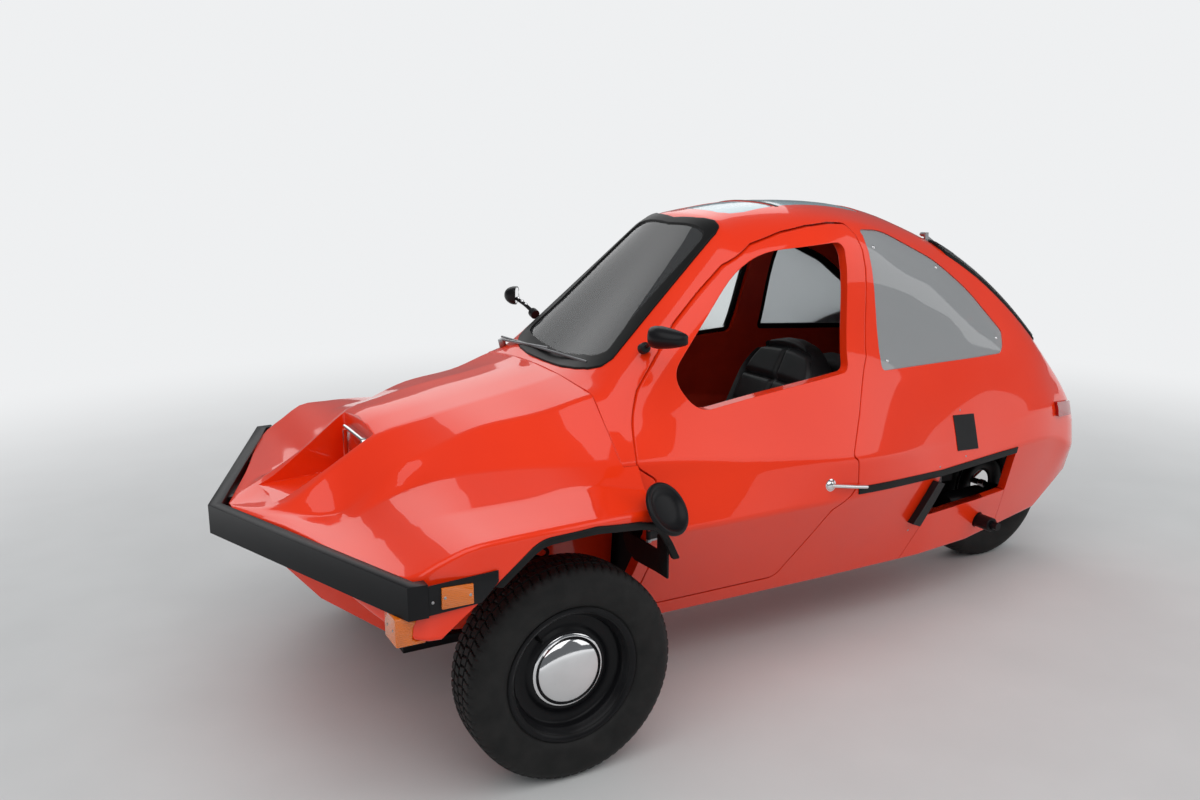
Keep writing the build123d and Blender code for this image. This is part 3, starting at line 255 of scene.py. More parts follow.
def ease_corner(points, corner, after):
    """Round a corner off between the last point and the next."""
    before = points[-1]
    for u in (0.25, 0.5, 0.75):
        points.append((1 - u) ** 2 * before + 2 * u * (1 - u) * corner + u * u * after)
    points.append(after)


def half_chain(keys, counts, smooth_to=0):
    """Dense half section: smooth as far as one key, then straight sides with eased corners."""
    keys = [np.array(k, float) for k in keys]
    chain = [np.array([-keys[1][0], keys[1][1]])] + keys[: smooth_to + 1]
    steps = np.cumsum([0.0] + [max(np.linalg.norm(b - a), 1.0) for a, b in zip(chain, chain[1:])])

    def along(segment, t):
        if segment < smooth_to:
            s = steps[segment + 1] + t * (steps[segment + 2] - steps[segment + 1])
            return through(steps, chain, s)
        return keys[segment] * (1 - t) + keys[segment + 1] * t

    points = [along(0, 0.0)]
    for segment, count in enumerate(counts):
        length = max(np.linalg.norm(keys[segment + 1] - keys[segment]), 1e-6)
        ease = min(CREASE_R / length, 0.4)
        near = ease if segment >= max(smooth_to, 1) else 0.0
        far = 1 - ease if smooth_to - 1 <= segment < len(counts) - 1 else 1.0
        if near:
            ease_corner(points, keys[segment], along(segment, near))
        for k in range(1, count + 1):
            points.append(along(segment, near + (far - near) * k / count))
    return points


def closed_section(half):
    """Close a dense half section with its mirror image."""
    return half + [np.array([-p[0], p[1]]) for p in reversed(half[1:-1])]


def spread(xs, sharp, soft_r, step):
    """Stations for the mesh: every row, steps between, and the eased bends."""
    xs = sorted(xs)
    found = set()
    for a, b in zip(xs, xs[1:]):
        count = max(1, round((b - a) / step))
        found.update(a + (b - a) * k / count for k in range(count + 1))
    for bend in sharp:
        found = {x for x in found if abs(x - bend) >= soft_r or x == bend}
        found.update(bend + soft_r * k / 3 for k in range(-3, 4))
    return sorted(found)


# Meshes
def shown(name, data):
    """New object in the scene."""
    obj = bpy.data.objects.new(name, data)
    bpy.context.scene.collection.objects.link(obj)
    return obj


def bands(rows, count, wrap=True, loop=False):
    """Quads between rows of points, round each row and from the last row to the first if asked."""
    faces = []
    for i in range(rows if loop else rows - 1):
        j = (i + 1) % rows
        for k in range(count if wrap else count - 1):
            n = (k + 1) % count
            faces.append((i * count + k, i * count + n, j * count + n, j * count + k))
    return faces


def ends(rows, count):
    return [tuple(range(count)), tuple(range((rows - 1) * count, rows * count))]


def tube_mesh(name, sections, material_index):
    """Closed solid through (x, ring) sections of equal count."""
    rows, count = len(sections), len(sections[0][1])
    verts = [(x, p[0], p[1]) for x, ring in sections for p in ring]
    first, last = ends(rows, count)
    return solid_object(name, verts, bands(rows, count) + [first[::-1], last], material_index)


def solid_object(name, verts, faces, material_index):
    """Closed solid from points in mm, with the shell's materials."""
    mesh = bpy.data.meshes.new(name)
    mesh.from_pydata([tuple(v) for v in place(verts)], [], faces)
    mesh.validate()
    work = bmesh.new()
    work.from_mesh(mesh)
    bmesh.ops.recalc_face_normals(work, faces=work.faces)
    work.to_mesh(mesh)
    work.free()
    for material in SHELL_MATERIALS:
        mesh.materials.append(material)
    for polygon in mesh.polygons:
        polygon.material_index = material_index
    return shown(name, mesh)


def prism(name, low, high):
    """Closed solid between two rings of (x, y, z) points."""
    return solid_object(name, low + high, ends(2, len(low)) + bands(2, len(low)), 2)


def rounded(points, steps=8):
    """Polygon of (a, b, radius) corners, each rounded as far as its sides allow."""
    result = []
    for i, (ca, cb, radius) in enumerate(points):
        corner = np.array((ca, cb), float)
        before = np.array(points[i - 1][:2], float)
        after = np.array(points[(i + 1) % len(points)][:2], float)
        a, b = before - corner, after - corner
        la, lb = np.linalg.norm(a), np.linalg.norm(b)
        half = math.acos(float(np.clip(np.dot(a, b) / (la * lb), -1, 1))) / 2
        reach = min(radius / math.tan(half), 0.45 * la, 0.45 * lb) if radius and half < math.pi / 2 else 0.0
        if reach < 0.5:
            result.append(tuple(corner))
            continue
        for k in range(steps + 1):
            u = k / steps
            p = corner + a / la * reach * (1 - u) ** 2 + b / lb * reach * u * u
            result.append(tuple(p))
    return result


def shrunk(corners, depth):
    """The same polygon moved inwards all round."""
    moved = inset([(a, b) for a, b, _ in corners], depth)
    return rounded([(a, b, max(corner[2] - depth, 0.0)) for (a, b), corner in zip(moved, corners)])


def from_rear(points):
    return [(REAR_X + point[0],) + tuple(point[1:]) for point in points]


def both_sides(half, radius=0.0):
    """Close a half plan outline with its mirror image, its corners rounded."""
    whole = half + [(x, -y) for x, y in reversed(half[1:-1])]
    return rounded([(x, y, radius) for x, y in whole], 4)


def across(name, outline, near, far):
    """Prism of an (x, z) outline from y near to y far."""
    return prism(name, [(x, near, z) for x, z in outline], [(x, far, z) for x, z in outline])


def upright(name, outline, low, high):
    """Prism of an (x, y) outline from z low to z high."""
    return prism(name, [(x, y, low) for x, y in outline], [(x, y, high) for x, y in outline])


def brick(name, x0, x1, y0, y1, z0, z1):
    return upright(name, [(x0, y0), (x1, y0), (x1, y1), (x0, y1)], z0, z1)


def apply_modifiers(obj):
    depsgraph = bpy.context.evaluated_depsgraph_get()
    mesh = bpy.data.meshes.new_from_object(obj.evaluated_get(depsgraph))
    obj.modifiers.clear()
    obj.data = mesh
    return obj


def combine(target, operation, *tools):
    """Apply an exact boolean of the target with each tool in turn; the tools are used up."""
    for tool in tools:
        modifier = target.modifiers.new("cut", "BOOLEAN")
        modifier.operation = operation
        modifier.solver = "EXACT"
        modifier.object = tool
        apply_modifiers(target)
        bpy.data.objects.remove(tool)
    return target


def cut(target, *tools):
    return combine(target, "DIFFERENCE", *tools)


def twin(obj, name):
    return shown(name, obj.data.copy())


class Skin:
    """A clean smooth surface that lends its normals to pieces cut from it."""

    def __init__(self, obj):
        mesh = obj.data
        mesh.calc_loop_triangles()
        self.points = np.array([v.co for v in mesh.vertices])
        normals = np.zeros((len(mesh.vertices), 3))
        corners = np.array([t.vertices for t in mesh.loop_triangles])
        a, b, c = (self.points[corners[:, k]] for k in range(3))
        cross = np.cross(b - a, c - a)
        caps = np.array([len(mesh.polygons[t.polygon_index].vertices) > 4 for t in mesh.loop_triangles])
        cross[caps] = 0
        for k in range(3):
            np.add.at(normals, corners[:, k], cross)
        size = np.linalg.norm(normals, axis=1)
        self.normals = normals / np.maximum(size, 1e-12)[:, None]
        keep = ~caps
        self.corners = corners[keep]
        self.tree = BVHTree.FromPolygons([tuple(p) for p in self.points], [tuple(t) for t in self.corners])

    def normal(self, point):
        spot, _, index, distance = self.tree.find_nearest(point)
        ids = self.corners[index]
        a, b, c = self.points[ids]
        p = np.array(spot)
        v0, v1, v2 = b - a, c - a, p - a
        d00, d01, d11 = v0 @ v0, v0 @ v1, v1 @ v1
        d20, d21 = v2 @ v0, v2 @ v1
        base = d00 * d11 - d01 * d01
        if abs(base) < 1e-20:
            return Vector(self.normals[ids[0]]), distance
        v = (d11 * d20 - d01 * d21) / base
        w = (d00 * d21 - d01 * d20) / base
        mixed = (1 - v - w) * self.normals[ids[0]] + v * self.normals[ids[1]] + w * self.normals[ids[2]]
        return Vector(mixed).normalized(), distance


def lend_normals(obj, skins):
    """Give each face that lies on a skin the skin's smooth normals; other faces stay flat."""
    mesh = obj.data
    loops = [None] * len(mesh.loops)
    for polygon in mesh.polygons:
        flat = polygon.normal.copy()
        for loop in polygon.loop_indices:
            point = mesh.vertices[mesh.loops[loop].vertex_index].co
            loops[loop] = flat
            for skin in skins.get(polygon.material_index, ()):
                normal, distance = skin.normal(point)
                if distance < 0.0006 and abs(normal.dot(flat)) > 0.6:
                    loops[loop] = normal if normal.dot(flat) > 0 else -normal
                    break
    for polygon in mesh.polygons:
        polygon.use_smooth = True
    mesh.normals_split_custom_set([tuple(n) for n in loops])


# Materials
def material(name, colour, rough, **values):
    """Principled material with its plain values on the shader's own sockets."""
    made = bpy.data.materials.new(name)
    made.use_nodes = True
    inputs = made.node_tree.nodes["Principled BSDF"].inputs
    inputs["Base Color"].default_value = (*colour, 1.0)
    inputs["Roughness"].default_value = rough
    inputs["IOR"].default_value = 1.45
    inputs["Coat Roughness"].default_value = 0.05
    for socket, value in values.items():
        inputs[SOCKETS[socket]].default_value = value
    return made


SOCKETS = {
    "metal": "Metallic", "coat": "Coat Weight", "coat_rough": "Coat Roughness",
    "through": "Transmission Weight", "level": "Specular IOR Level",
}


def add(made, kind, links=(), values=(), **settings):
    """New shader node with the outputs that feed it, its sockets' values and its settings."""
    tree = made.node_tree
    node = tree.nodes.new("ShaderNode" + kind)
    for name, value in settings.items():
        setattr(node, name, value)
    for socket, value in dict(values).items():
        node.inputs[socket].default_value = value
    for socket, source in dict(links).items():
        tree.links.new(source, node.inputs[socket])
    return node


def feed(made, source, *sockets):
    """Link an output to sockets of the material's own shader."""
    inputs = made.node_tree.nodes["Principled BSDF"].inputs
    for socket in sockets:
        made.node_tree.links.new(source, inputs[socket])


def surface(made, fac, first, second):
    """Mix two shaders and put the result on the output."""
    mix = add(made, "MixShader", {"Fac": fac, 1: first, 2: second})
    output = next(n for n in made.node_tree.nodes if n.type.startswith("OUTPUT"))
    made.node_tree.links.new(mix.outputs["Shader"], output.inputs["Surface"])


def spot_of(made):
    return add(made, "TexCoord").outputs["Object"]


def noise(made, scale, detail=4.0):
    """Noise in object space."""
    return add(made, "TexNoise", {"Vector": spot_of(made)}, {"Scale": scale, "Detail": detail}).outputs["Fac"]


def vary_colour(made, low, high, scale, start=0.3, end=0.7):
    """Mottle the base colour between two tones."""
    node = add(made, "ValToRGB", {"Fac": noise(made, scale)})
    for k, (position, colour) in enumerate(((start, low), (end, high))):
        node.color_ramp.elements[k].position = position
        node.color_ramp.elements[k].color = (*colour, 1.0)
    feed(made, node.outputs["Color"], "Base Color")


def vary_rough(made, low, high, scale):
    node = add(made, "MapRange", {"Value": noise(made, scale)}, {"To Min": low, "To Max": high})
    feed(made, node.outputs["Result"], "Roughness")


def bump(made, height, strength, distance):
    node = add(made, "Bump", {"Height": height}, {"Strength": strength, "Distance": distance})
    feed(made, node.outputs["Normal"], "Normal")


def soft_edges(made, radius):
    """Rounded panel edges in the shading, about as wide as the moulding's real ones."""
    node = add(made, "Bevel", (), {"Radius": radius}, samples=4)
    feed(made, node.outputs["Normal"], "Normal", "Coat Normal")


def times(colour, factor):
    return tuple(c * factor for c in colour)


# Body surfaces
ROWS = BODY[::-1]
ROW_XS = [row[0] for row in ROWS]
BODY_COUNTS = (5, 4, 8, 6, 1, 2, 3, 2)
NOSE_COUNTS = (2, 3, 3, 3, 4, 3, 1)


def body_keys(x):
    """Key points of the body's half section at x: top, edge, rail, belt, creases, sill and floor."""
    def column(pick, sharp):
        return split_through(ROW_XS, [pick(row) for row in ROWS], x, sharp, ROW_EASE)

    def straight(pick):
        return float(np.interp(x, ROW_XS, [pick(row) for row in ROWS]))

    top = column(lambda row: (0.0, row[9]), BODY_SHARP_ROWS)
    sharp = [column(lambda row, k=k: row[k], BODY_SHARP_ROWS) for k in (8, 7)]
    soft = [column(lambda row, k=k: row[k], ()) for k in (6, 5, 4, 3)]
    sill = (straight(lambda row: row[2][0]), straight(lambda row: row[2][1]))
    return [tuple(k) for k in [top] + sharp + soft + [sill, (0.0, straight(lambda row: row[1]))]]


def body_half(keys):
    return half_chain(keys, BODY_COUNTS, smooth_to=4)


def sunk(keys, depth):
    """Half section a depth below its outer face."""
    if not depth:
        return keys
    keys = inset(keys + [(-y, z) for y, z in reversed(keys[1:-1])], depth)[: len(keys)]
    keys[0] = (0.0, keys[0][1])
    keys[-1] = (0.0, keys[-1][1])
    return keys


def body_solid(name, depth, xs, material_index, back_shift=0.0, front_shift=0.0):
    """Closed smooth body at a depth below its outer face."""
    shifts = {xs[0]: back_shift, xs[-1]: front_shift}
    sections = [(x + shifts.get(x, 0.0), closed_section(body_half(sunk(body_keys(x), depth)))) for x in xs]
    return tube_mesh(name, sections, material_index)


def stations(back, front, step):
    """Body stations between two places, with the eased bends."""
    rows = [back] + [x for x in ROW_XS if back < x < front] + [front]
    return [x for x in spread(rows, BODY_SHARP_ROWS, ROW_EASE, step) if back <= x <= front]


def nose_keys(x):
    xs = [row[0] for row in NOSE][::-1]
    return [tuple(through(xs, [row[k] for row in NOSE][::-1], max(x, xs[0]))) for k in range(1, 8)]


def nose_solid(name, depth, xs, drop, material_index, front_shift=0.0):
    """Closed nose at a depth below its outer face, its foot let down by the drop."""
    sections = []
    for x in xs:
        *keys, (foot_y, foot_z) = nose_keys(x)
        keys = sunk(keys + [(foot_y, foot_z - drop), (0.0, foot_z - drop)], depth)
        section = closed_section(half_chain(keys, NOSE_COUNTS))
        sections.append((x + front_shift * (x > 290), section))
    return tube_mesh(name, sections, material_index)


# Pieces in general
def turns(count):
    return [2 * math.pi * k / count for k in range(count)]


def finish(obj, look, *nodes, body="body"):
    """Give a piece its finish, its body and the CAD nodes it stands for."""
    made, slot = look
    if made is not None:
        obj.data.materials.clear()
        obj.data.materials.append(made)
        obj.data.polygons.foreach_set("material_index", [0] * len(obj.data.polygons))
    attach(obj, body)
    if nodes:
        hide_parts(*nodes)


def mesh_piece(name, verts, faces, smooth=40.0):
    """Piece from points in metres, its edges over the angle left crisp."""
    mesh = bpy.data.meshes.new(name)
    mesh.from_pydata([tuple(v) for v in verts], [], faces)
    work = bmesh.new()
    work.from_mesh(mesh)
    bmesh.ops.remove_doubles(work, verts=work.verts, dist=1e-6)
    bmesh.ops.recalc_face_normals(work, faces=work.faces)
    for face in work.faces:
        face.smooth = True
    for edge in work.edges:
        edge.smooth = len(edge.link_faces) != 2 or edge.calc_face_angle(0.0) < math.radians(smooth)
    work.to_mesh(mesh)
    work.free()
    return shown(name, mesh)


def ring_piece(name, rings, smooth, wrap=True, loop=False, caps=False):
    """Piece through rings of (x, y, z), mm."""
    rows, count = len(rings), len(rings[0])
    faces = bands(rows, count, wrap, loop) + (ends(rows, count) if caps else [])
    return mesh_piece(name, [v for ring in rings for v in place(ring)], faces, smooth)


def axis_frame(way):
    """A way and two directions square to it."""
    way = Vector(way).normalized()
    side = way.cross(Vector((0, 0, 1)))
    side = side.normalized() if side.length > 0.01 else Vector((1, 0, 0))
    return way, side, way.cross(side)


def lathe(name, profile, at, way, count, look, *nodes, smooth=35.0, body="body", ripple=None):
    """Turn a (radius, height) profile in mm about a way through a point in mm."""
    way, side, up = axis_frame(way)
    origin = Vector(place([at])[0])
    closed = profile[0] == profile[-1] and profile[0][0] > 0
    verts, index = [], []
    for r, h in profile[:-1] if closed else profile:
        if r <= 0:
            index.append([len(verts)] * count)
            verts.append(origin + way * (h * MM))
            continue
        index.append(list(range(len(verts), len(verts) + count)))
        for a in turns(count):
            rr, hh = ripple(r, h, a) if ripple else (r, h)
            verts.append(origin + (side * math.cos(a) + up * math.sin(a)) * (rr * MM) + way * (hh * MM))
    faces = []
    for low, high in zip(index, index[1:] + index[:1] * closed):
        for k in range(count):
            n = (k + 1) % count
            corners = list(dict.fromkeys((low[k], low[n], high[n], high[k])))
            if len(corners) > 2:
                faces.append(corners)
    finish(mesh_piece(name, verts, faces, smooth), look, *nodes, body=body)


def swept(name, path, section, look, *nodes, body="body", loop=False):
    """Run a section, (side, up) in mm, along points in mm."""
    points = [Vector(p) for p in place(path)]
    rows, count = len(points), len(section)
    verts = []
    for i, point in enumerate(points):
        after = points[(i + 1) % rows] if loop or i < rows - 1 else point
        before = points[i - 1] if loop or i else point
        _, side, up = axis_frame(after - before)
        verts += [point + side * (a * MM) + up * (b * MM) for a, b in section]
    faces = bands(rows, count, loop=loop) + ([] if loop else ends(rows, count))
    finish(mesh_piece(name, verts, faces, 35.0), look, *nodes, body=body)


def circle(radius, count=12):
    return [(radius * math.cos(a), radius * math.sin(a)) for a in turns(count)]


def flat_bar(half_w, half_h):
    return [(-half_w, -half_h), (half_w, -half_h), (half_w, half_h), (-half_w, half_h)]


def bevel(obj, edge, segments, angle):
    """Rounded edges, mm."""
    edges = obj.modifiers.new("edges", "BEVEL")
    edges.width = edge * MM
    edges.segments = segments
    edges.limit_method = "ANGLE"
    edges.angle_limit = math.radians(angle)
    edges.harden_normals = True
    for polygon in obj.data.polygons:
        polygon.use_smooth = True


def box_piece(name, corners, edge, look, segments=2):
    """Block with rounded edges, mm."""
    obj = brick(name, *corners)
    bevel(obj, edge, segments, 30)
    finish(apply_modifiers(obj), look)


def dress(node, look, edge):
    """Keep a CAD node in the picture with rounded edges and its own finish."""
    made, slot = look
    obj = NODES[node]
    obj.data.materials.clear()
    obj.data.materials.append(made)
    for polygon in obj.data.polygons:
        polygon.material_index = 0
    if obj.data.has_custom_normals:
        obj.data.normals_split_custom_set([(0.0, 0.0, 0.0)] * len(obj.data.loops))
    weld = obj.modifiers.new("weld", "WELD")
    weld.merge_threshold = 1e-5
    bevel(obj, edge, 2, 32)


# Finishes
def rubber(name, tone=0.009, rough=0.5, edge=0.0):
    grey = (tone, tone, tone)
    made = material(name, grey, rough, level=0.2)
    vary_colour(made, times(grey, 0.8), times(grey, 1.35), 14.0)
    if edge:
        soft_edges(made, edge)
    else:
        bump(made, noise(made, 900.0, 3.0), 0.25, 0.0004)
    return made


def plastic(name, colour, rough, grain=700.0, strength=0.12):
    made = material(name, colour, rough, level=0.2)
    vary_colour(made, times(colour, 0.88), times(colour, 1.12), 11.0)
    bump(made, noise(made, grain, 3.0), strength, 0.0003)
    return made


def metal(name, colour, rough, scale=60.0):
    made = material(name, colour, rough, metal=1.0)
    vary_colour(made, times(colour, 0.88), colour, scale * 0.3)
    vary_rough(made, rough * 0.75, min(rough * 1.5, 1.0), scale)
    return made


def clear_glass(name, colour, rough):
    """Clear sheet that lets light through without casting a full shadow."""
    made = material(name, colour, rough, through=1.0)
    vary_rough(made, rough, rough + 0.02, 6.0)
    shadow = add(made, "LightPath").outputs["Is Shadow Ray"]
    bare = add(made, "BsdfTransparent", (), {"Color": (*colour, 1.0)})
    shader = made.node_tree.nodes["Principled BSDF"]
    surface(made, shadow, shader.outputs["BSDF"], bare.outputs["BSDF"])
    return made


def thin_pane(name, tint, gloss=0.14, haze=0.05):
    """Flat pane: mostly see-through, a little hazy, with a reflection at a slant."""
    made = material(name, tint, 0.02)
    vary_rough(made, 0.01, 0.035, 5.0)
    bare = add(made, "BsdfTransparent", (), {"Color": (*tint, 1.0)})
    film = add(made, "BsdfDiffuse", (), {"Color": (0.85, 0.87, 0.88, 1.0)})
    hazy = add(made, "MixShader", {1: bare.outputs["BSDF"], 2: film.outputs["BSDF"]}, {"Fac": haze})
    glossy = add(made, "BsdfGlossy", (), {"Roughness": 0.02})
    slant = add(made, "Fresnel", (), {"IOR": 1.0 + 4 * gloss})
    surface(made, slant.outputs["Fac"], hazy.outputs["Shader"], glossy.outputs["BSDF"])
    return made


def lens_material(name, colour):
    """Moulded lamp lens with fine ribs inside."""
    made = material(name, colour, 0.12, coat=1.0, through=0.25)
    vary_colour(made, times(colour, 0.93), colour, 12.0)
    ribs = add(made, "TexWave", {"Vector": spot_of(made)}, {"Scale": 70.0}, bands_direction="Z")
    bump(made, ribs.outputs["Fac"], 0.5, 0.0012)
    return made


def roof_pane_material():
    """Pale blue sheet that glows with the light behind it."""
    made = material("roof_pane", (0.42, 0.62, 0.68), 0.16, coat=0.6, through=0.25)
    vary_colour(made, (0.36, 0.56, 0.62), (0.50, 0.70, 0.75), 5.0)
    return made


def paint_material():
    made = material("paint_orange_red", (0.86, 0.034, 0.003), 0.34, coat=0.8, coat_rough=0.03, level=0.15)
    vary_colour(made, (0.83, 0.031, 0.003), (0.88, 0.037, 0.004), 2.2, 0.35, 0.65)
    soft_edges(made, 0.0025)
    return made


def inner_material():
    made = material("inner_moulding", (0.52, 0.022, 0.004), 0.55)
    bump(made, noise(made, 380.0, 3.0), 0.35, 0.0006)
    vary_colour(made, (0.44, 0.018, 0.003), (0.58, 0.026, 0.005), 9.0)
    return made


def vinyl_material():
    made = material("black_vinyl", (0.020, 0.020, 0.021), 0.42)
    vary_colour(made, (0.016, 0.016, 0.017), (0.028, 0.028, 0.030), 8.0)
    cells = add(made, "TexVoronoi", {"Vector": spot_of(made)}, {"Scale": 900.0})
    bump(made, cells.outputs["Distance"], 0.22, 0.0005)
    return made


def tyre_material():
    made = material("tyre_rubber", (0.011, 0.011, 0.011), 0.6, level=0.3)
    vary_colour(made, (0.008, 0.008, 0.008), (0.015, 0.0145, 0.014), 26.0)
    bump(made, noise(made, 520.0, 4.0), 0.3, 0.0005)
    return made


# Looks: material and the record's slot
BODY_PAINT = paint_material()
PAINT = (BODY_PAINT, "orange_body")
TYRE = (tyre_material(), "tyre_rubber")
RUBBER = (rubber("black_rubber"), "black_rubber")
SEAL = (rubber("seal_rubber", 0.007, 0.38, 0.0045), "black_rubber")
TRIM = (plastic("black_trim", (0.010, 0.010, 0.011), 0.38), "black_trim")
SATIN = (plastic("satin_black", (0.008, 0.008, 0.009), 0.33, 260.0, 0.05), "black_trim")
PANE = (thin_pane("clear_pane", (0.93, 0.955, 0.955)), "clear_pane")
OLD_PANE = (thin_pane("hazy_pane", (0.90, 0.93, 0.94), 0.16, 0.34), "clear_pane")
ROOF = (roof_pane_material(), "roof_pane")
AMBER = (lens_material("amber_lens", (0.90, 0.20, 0.008)), "amber_lens")
RED = (lens_material("red_lens", (0.50, 0.010, 0.008)), "red_lens")
LAMP_GLASS = (clear_glass("lamp_glass", (0.97, 0.98, 0.98), 0.02), "clear_pane")
BLACK_STEEL = (plastic("black_steel", (0.007, 0.007, 0.008), 0.32, 180.0, 0.06), "black_steel")
CHROME = (metal("bright_metal", (0.86, 0.86, 0.87), 0.07, 30.0), "bright_metal")
STEEL = (metal("plain_steel", (0.42, 0.42, 0.43), 0.38), "plain_steel")
CAST = (metal("cast_metal", (0.46, 0.46, 0.47), 0.52, 120.0), "cast_metal")
VINYL = (vinyl_material(), "black_vinyl")
PANEL = (plastic("inner_panel", (0.018, 0.018, 0.019), 0.6, 900.0, 0.08), "inner_panel")
OWN_FACES = (None, "orange_body")

# Material of each kind of face in the shell: outside, inside, cut edge, rebate
SHELL_MATERIALS = [BODY_PAINT, inner_material(), BODY_PAINT, BODY_PAINT]


# The painted shell
def door_tool(name, shrink, radius):
    """Prism of the door's outline, set square to the door's leaning edges, less its edge by the cowl."""
    plan = [(x - (DOOR_PLANE_Y - y) * DOOR_LEAN, z) for x, y, z in DOOR]
    plan = inset(plan, shrink) if shrink else plan
    plan = rounded([(x, z, radius) for x, z in plan], 5)
    rings = [[(x - (y - DOOR_PLANE_Y) * DOOR_LEAN, y, z) for x, z in plan] for y in (245.0, 700.0)]
    return cut(prism(name, *rings), brick("cowl_edge", -345 - shrink, COWL_X, 200, 338 + shrink, 800, 940))


def disc_tool(name, x, z, radius, near, far):
    return across(name, [(x + a, z + b) for a, b in circle(radius, 48)], near, far)


def build_shell():
    outer = body_solid("body_outer", 0.0, stations(ROW_XS[0], ROW_XS[-1], 42.0), 0)
    cavity = body_solid("body_cavity", WALL, stations(ROW_XS[1], ROW_XS[-1], 70.0), 1, 30.0, 2.0)
    step_body = body_solid("rebate_floor", REBATE, stations(-1900, -1020, 40.0), 3)
    nose_xs = spread([row[0] for row in NOSE], (), 0.0, 30.0)
    nose = nose_solid("nose_outer", 0.0, [-300.0] + nose_xs, 0.0, 0)
    inner_xs = [-320.0] + [x for x in nose_xs if x <= 556]
    inner_nose = nose_solid("nose_inner", SKIN, inner_xs, 90.0, 1, front_shift=-SKIN)
    skins = {0: [Skin(outer), Skin(nose)], 1: [Skin(cavity), Skin(inner_nose)], 3: [Skin(step_body)]}
    shell = cut(outer, cavity)
    plug = door_tool("door_plug", SHUT_GAP, DOOR_CORNER_R)
    door = combine(twin(shell, "door_left_skin"), "INTERSECT", plug)
    cut(door, across("door_window", rounded(DOOR_WINDOW), *LEFT_REACH))
    panel_edge = from_rear(ENGINE_PANEL)
    panel_tool = across("panel_tool", shrunk(panel_edge, 2.0), 180, 600)
    panel = combine(twin(shell, "engine_panel_skin"), "INTERSECT", panel_tool)
    cut(panel, disc_tool("pipe_hole", REAR_X + 318, 266, 27, 180, 600))
    tools = [
        door_tool("door_hole", 0.0, DOOR_CORNER_R + SHUT_GAP),
        across("right_window", rounded(RIGHT_WINDOW), *RIGHT_REACH),
        across("hole_left", rounded(HOLE_LEFT), *LEFT_REACH),
        across("hole_right", rounded(HOLE_RIGHT), *RIGHT_REACH),
        upright("screen_hole", both_sides(SCREEN_OUT, 14.0), *TALL),
        upright("hatch_hole", both_sides(from_rear(HATCH), 10.0), *TALL),
        upright("roof_front_hole", both_sides(ROOF_FRONT, 8.0), 1100, 1400),
        upright("roof_rear_hole", both_sides(ROOF_REAR, 8.0), 1100, 1400),
        across("engine_hole", rounded(from_rear(ENGINE_OPEN)), 100, 600),
        across("panel_hole", rounded(panel_edge), 180, 600),
        disc_tool("rear_well", REAR_X, WHEEL_Z, 294.0, -112, 112),
        brick("well_front", REAR_X - 270, REAR_X + 363, -112, 112, 100, 260),
        brick("front_post", POST_X, COWL_X + 5, -700, 700, 100, 575),
    ]
    for name, reach, edge in (("left", LEFT_REACH, PANE_LEFT), ("right", RIGHT_REACH, PANE_RIGHT)):
        tools.append(cut(across("rebate_" + name, rounded(edge), *reach), twin(step_body, "rebate_core")))
    bpy.data.objects.remove(step_body)
    cut(shell, *tools)
    cut(nose, inner_nose, brick("fender_foot", -420, -200, -820, 820, 300, 562))
    for side, _ in SIDES:
        back = across("fender_back", FENDER_BACK, *sorted((side * 400, side * 830)))
        cut(nose, back, across("arch", rounded(ARCH), *sorted((side * 560, side * 820))))
    scoop_edge = inset([(x, y) for x, y, _ in SCOOP], -SCOOP_WALL)
    box = upright("scoop_box", scoop_edge, SCOOP_FLOOR - SCOOP_WALL, 900)
    combine(box, "INTERSECT", nose_solid("nose_lid", 0.0, nose_xs, 0.0, 0))
    combine(nose, "UNION", box)
    cut(nose, upright("scoop_hole", rounded(SCOOP), SCOOP_FLOOR, 900))
    cut(nose, body_solid("joint_gap", -6.0, stations(-400, COWL_X - 1, 12.0), 2))
    combine(shell, "UNION", nose)
    shell.name = "painted_shell"
    for piece, body, nodes in (
        (shell, "body", ("body_upper", "lower_tub", "nose_shell")),
        (door, "door_left", ("door_left",)),
        (panel, "body", ("engine_side_panel",)),
    ):
        lend_normals(piece, skins)
        finish(piece, OWN_FACES, *nodes, body=body)


# Panes, seals and strips that follow the body
def layer_piece(name, tool, depths, span, look, *nodes, body="body"):
    """Part of a tool between two depths of the body, with the body's smooth normals."""
    high, low = depths
    back, front = span
    top = body_solid(name + "_top", high, stations(back, front, 34.0), 0)
    base = body_solid(name + "_base", low, stations(back - 6, front + 6, 34.0), 1)
    skins = {0: [Skin(top)], 1: [Skin(base)]}
    cut(combine(tool, "INTERSECT", top), base)
    lend_normals(tool, skins)
    tool.name = name
    finish(tool, look, *nodes, body=body)


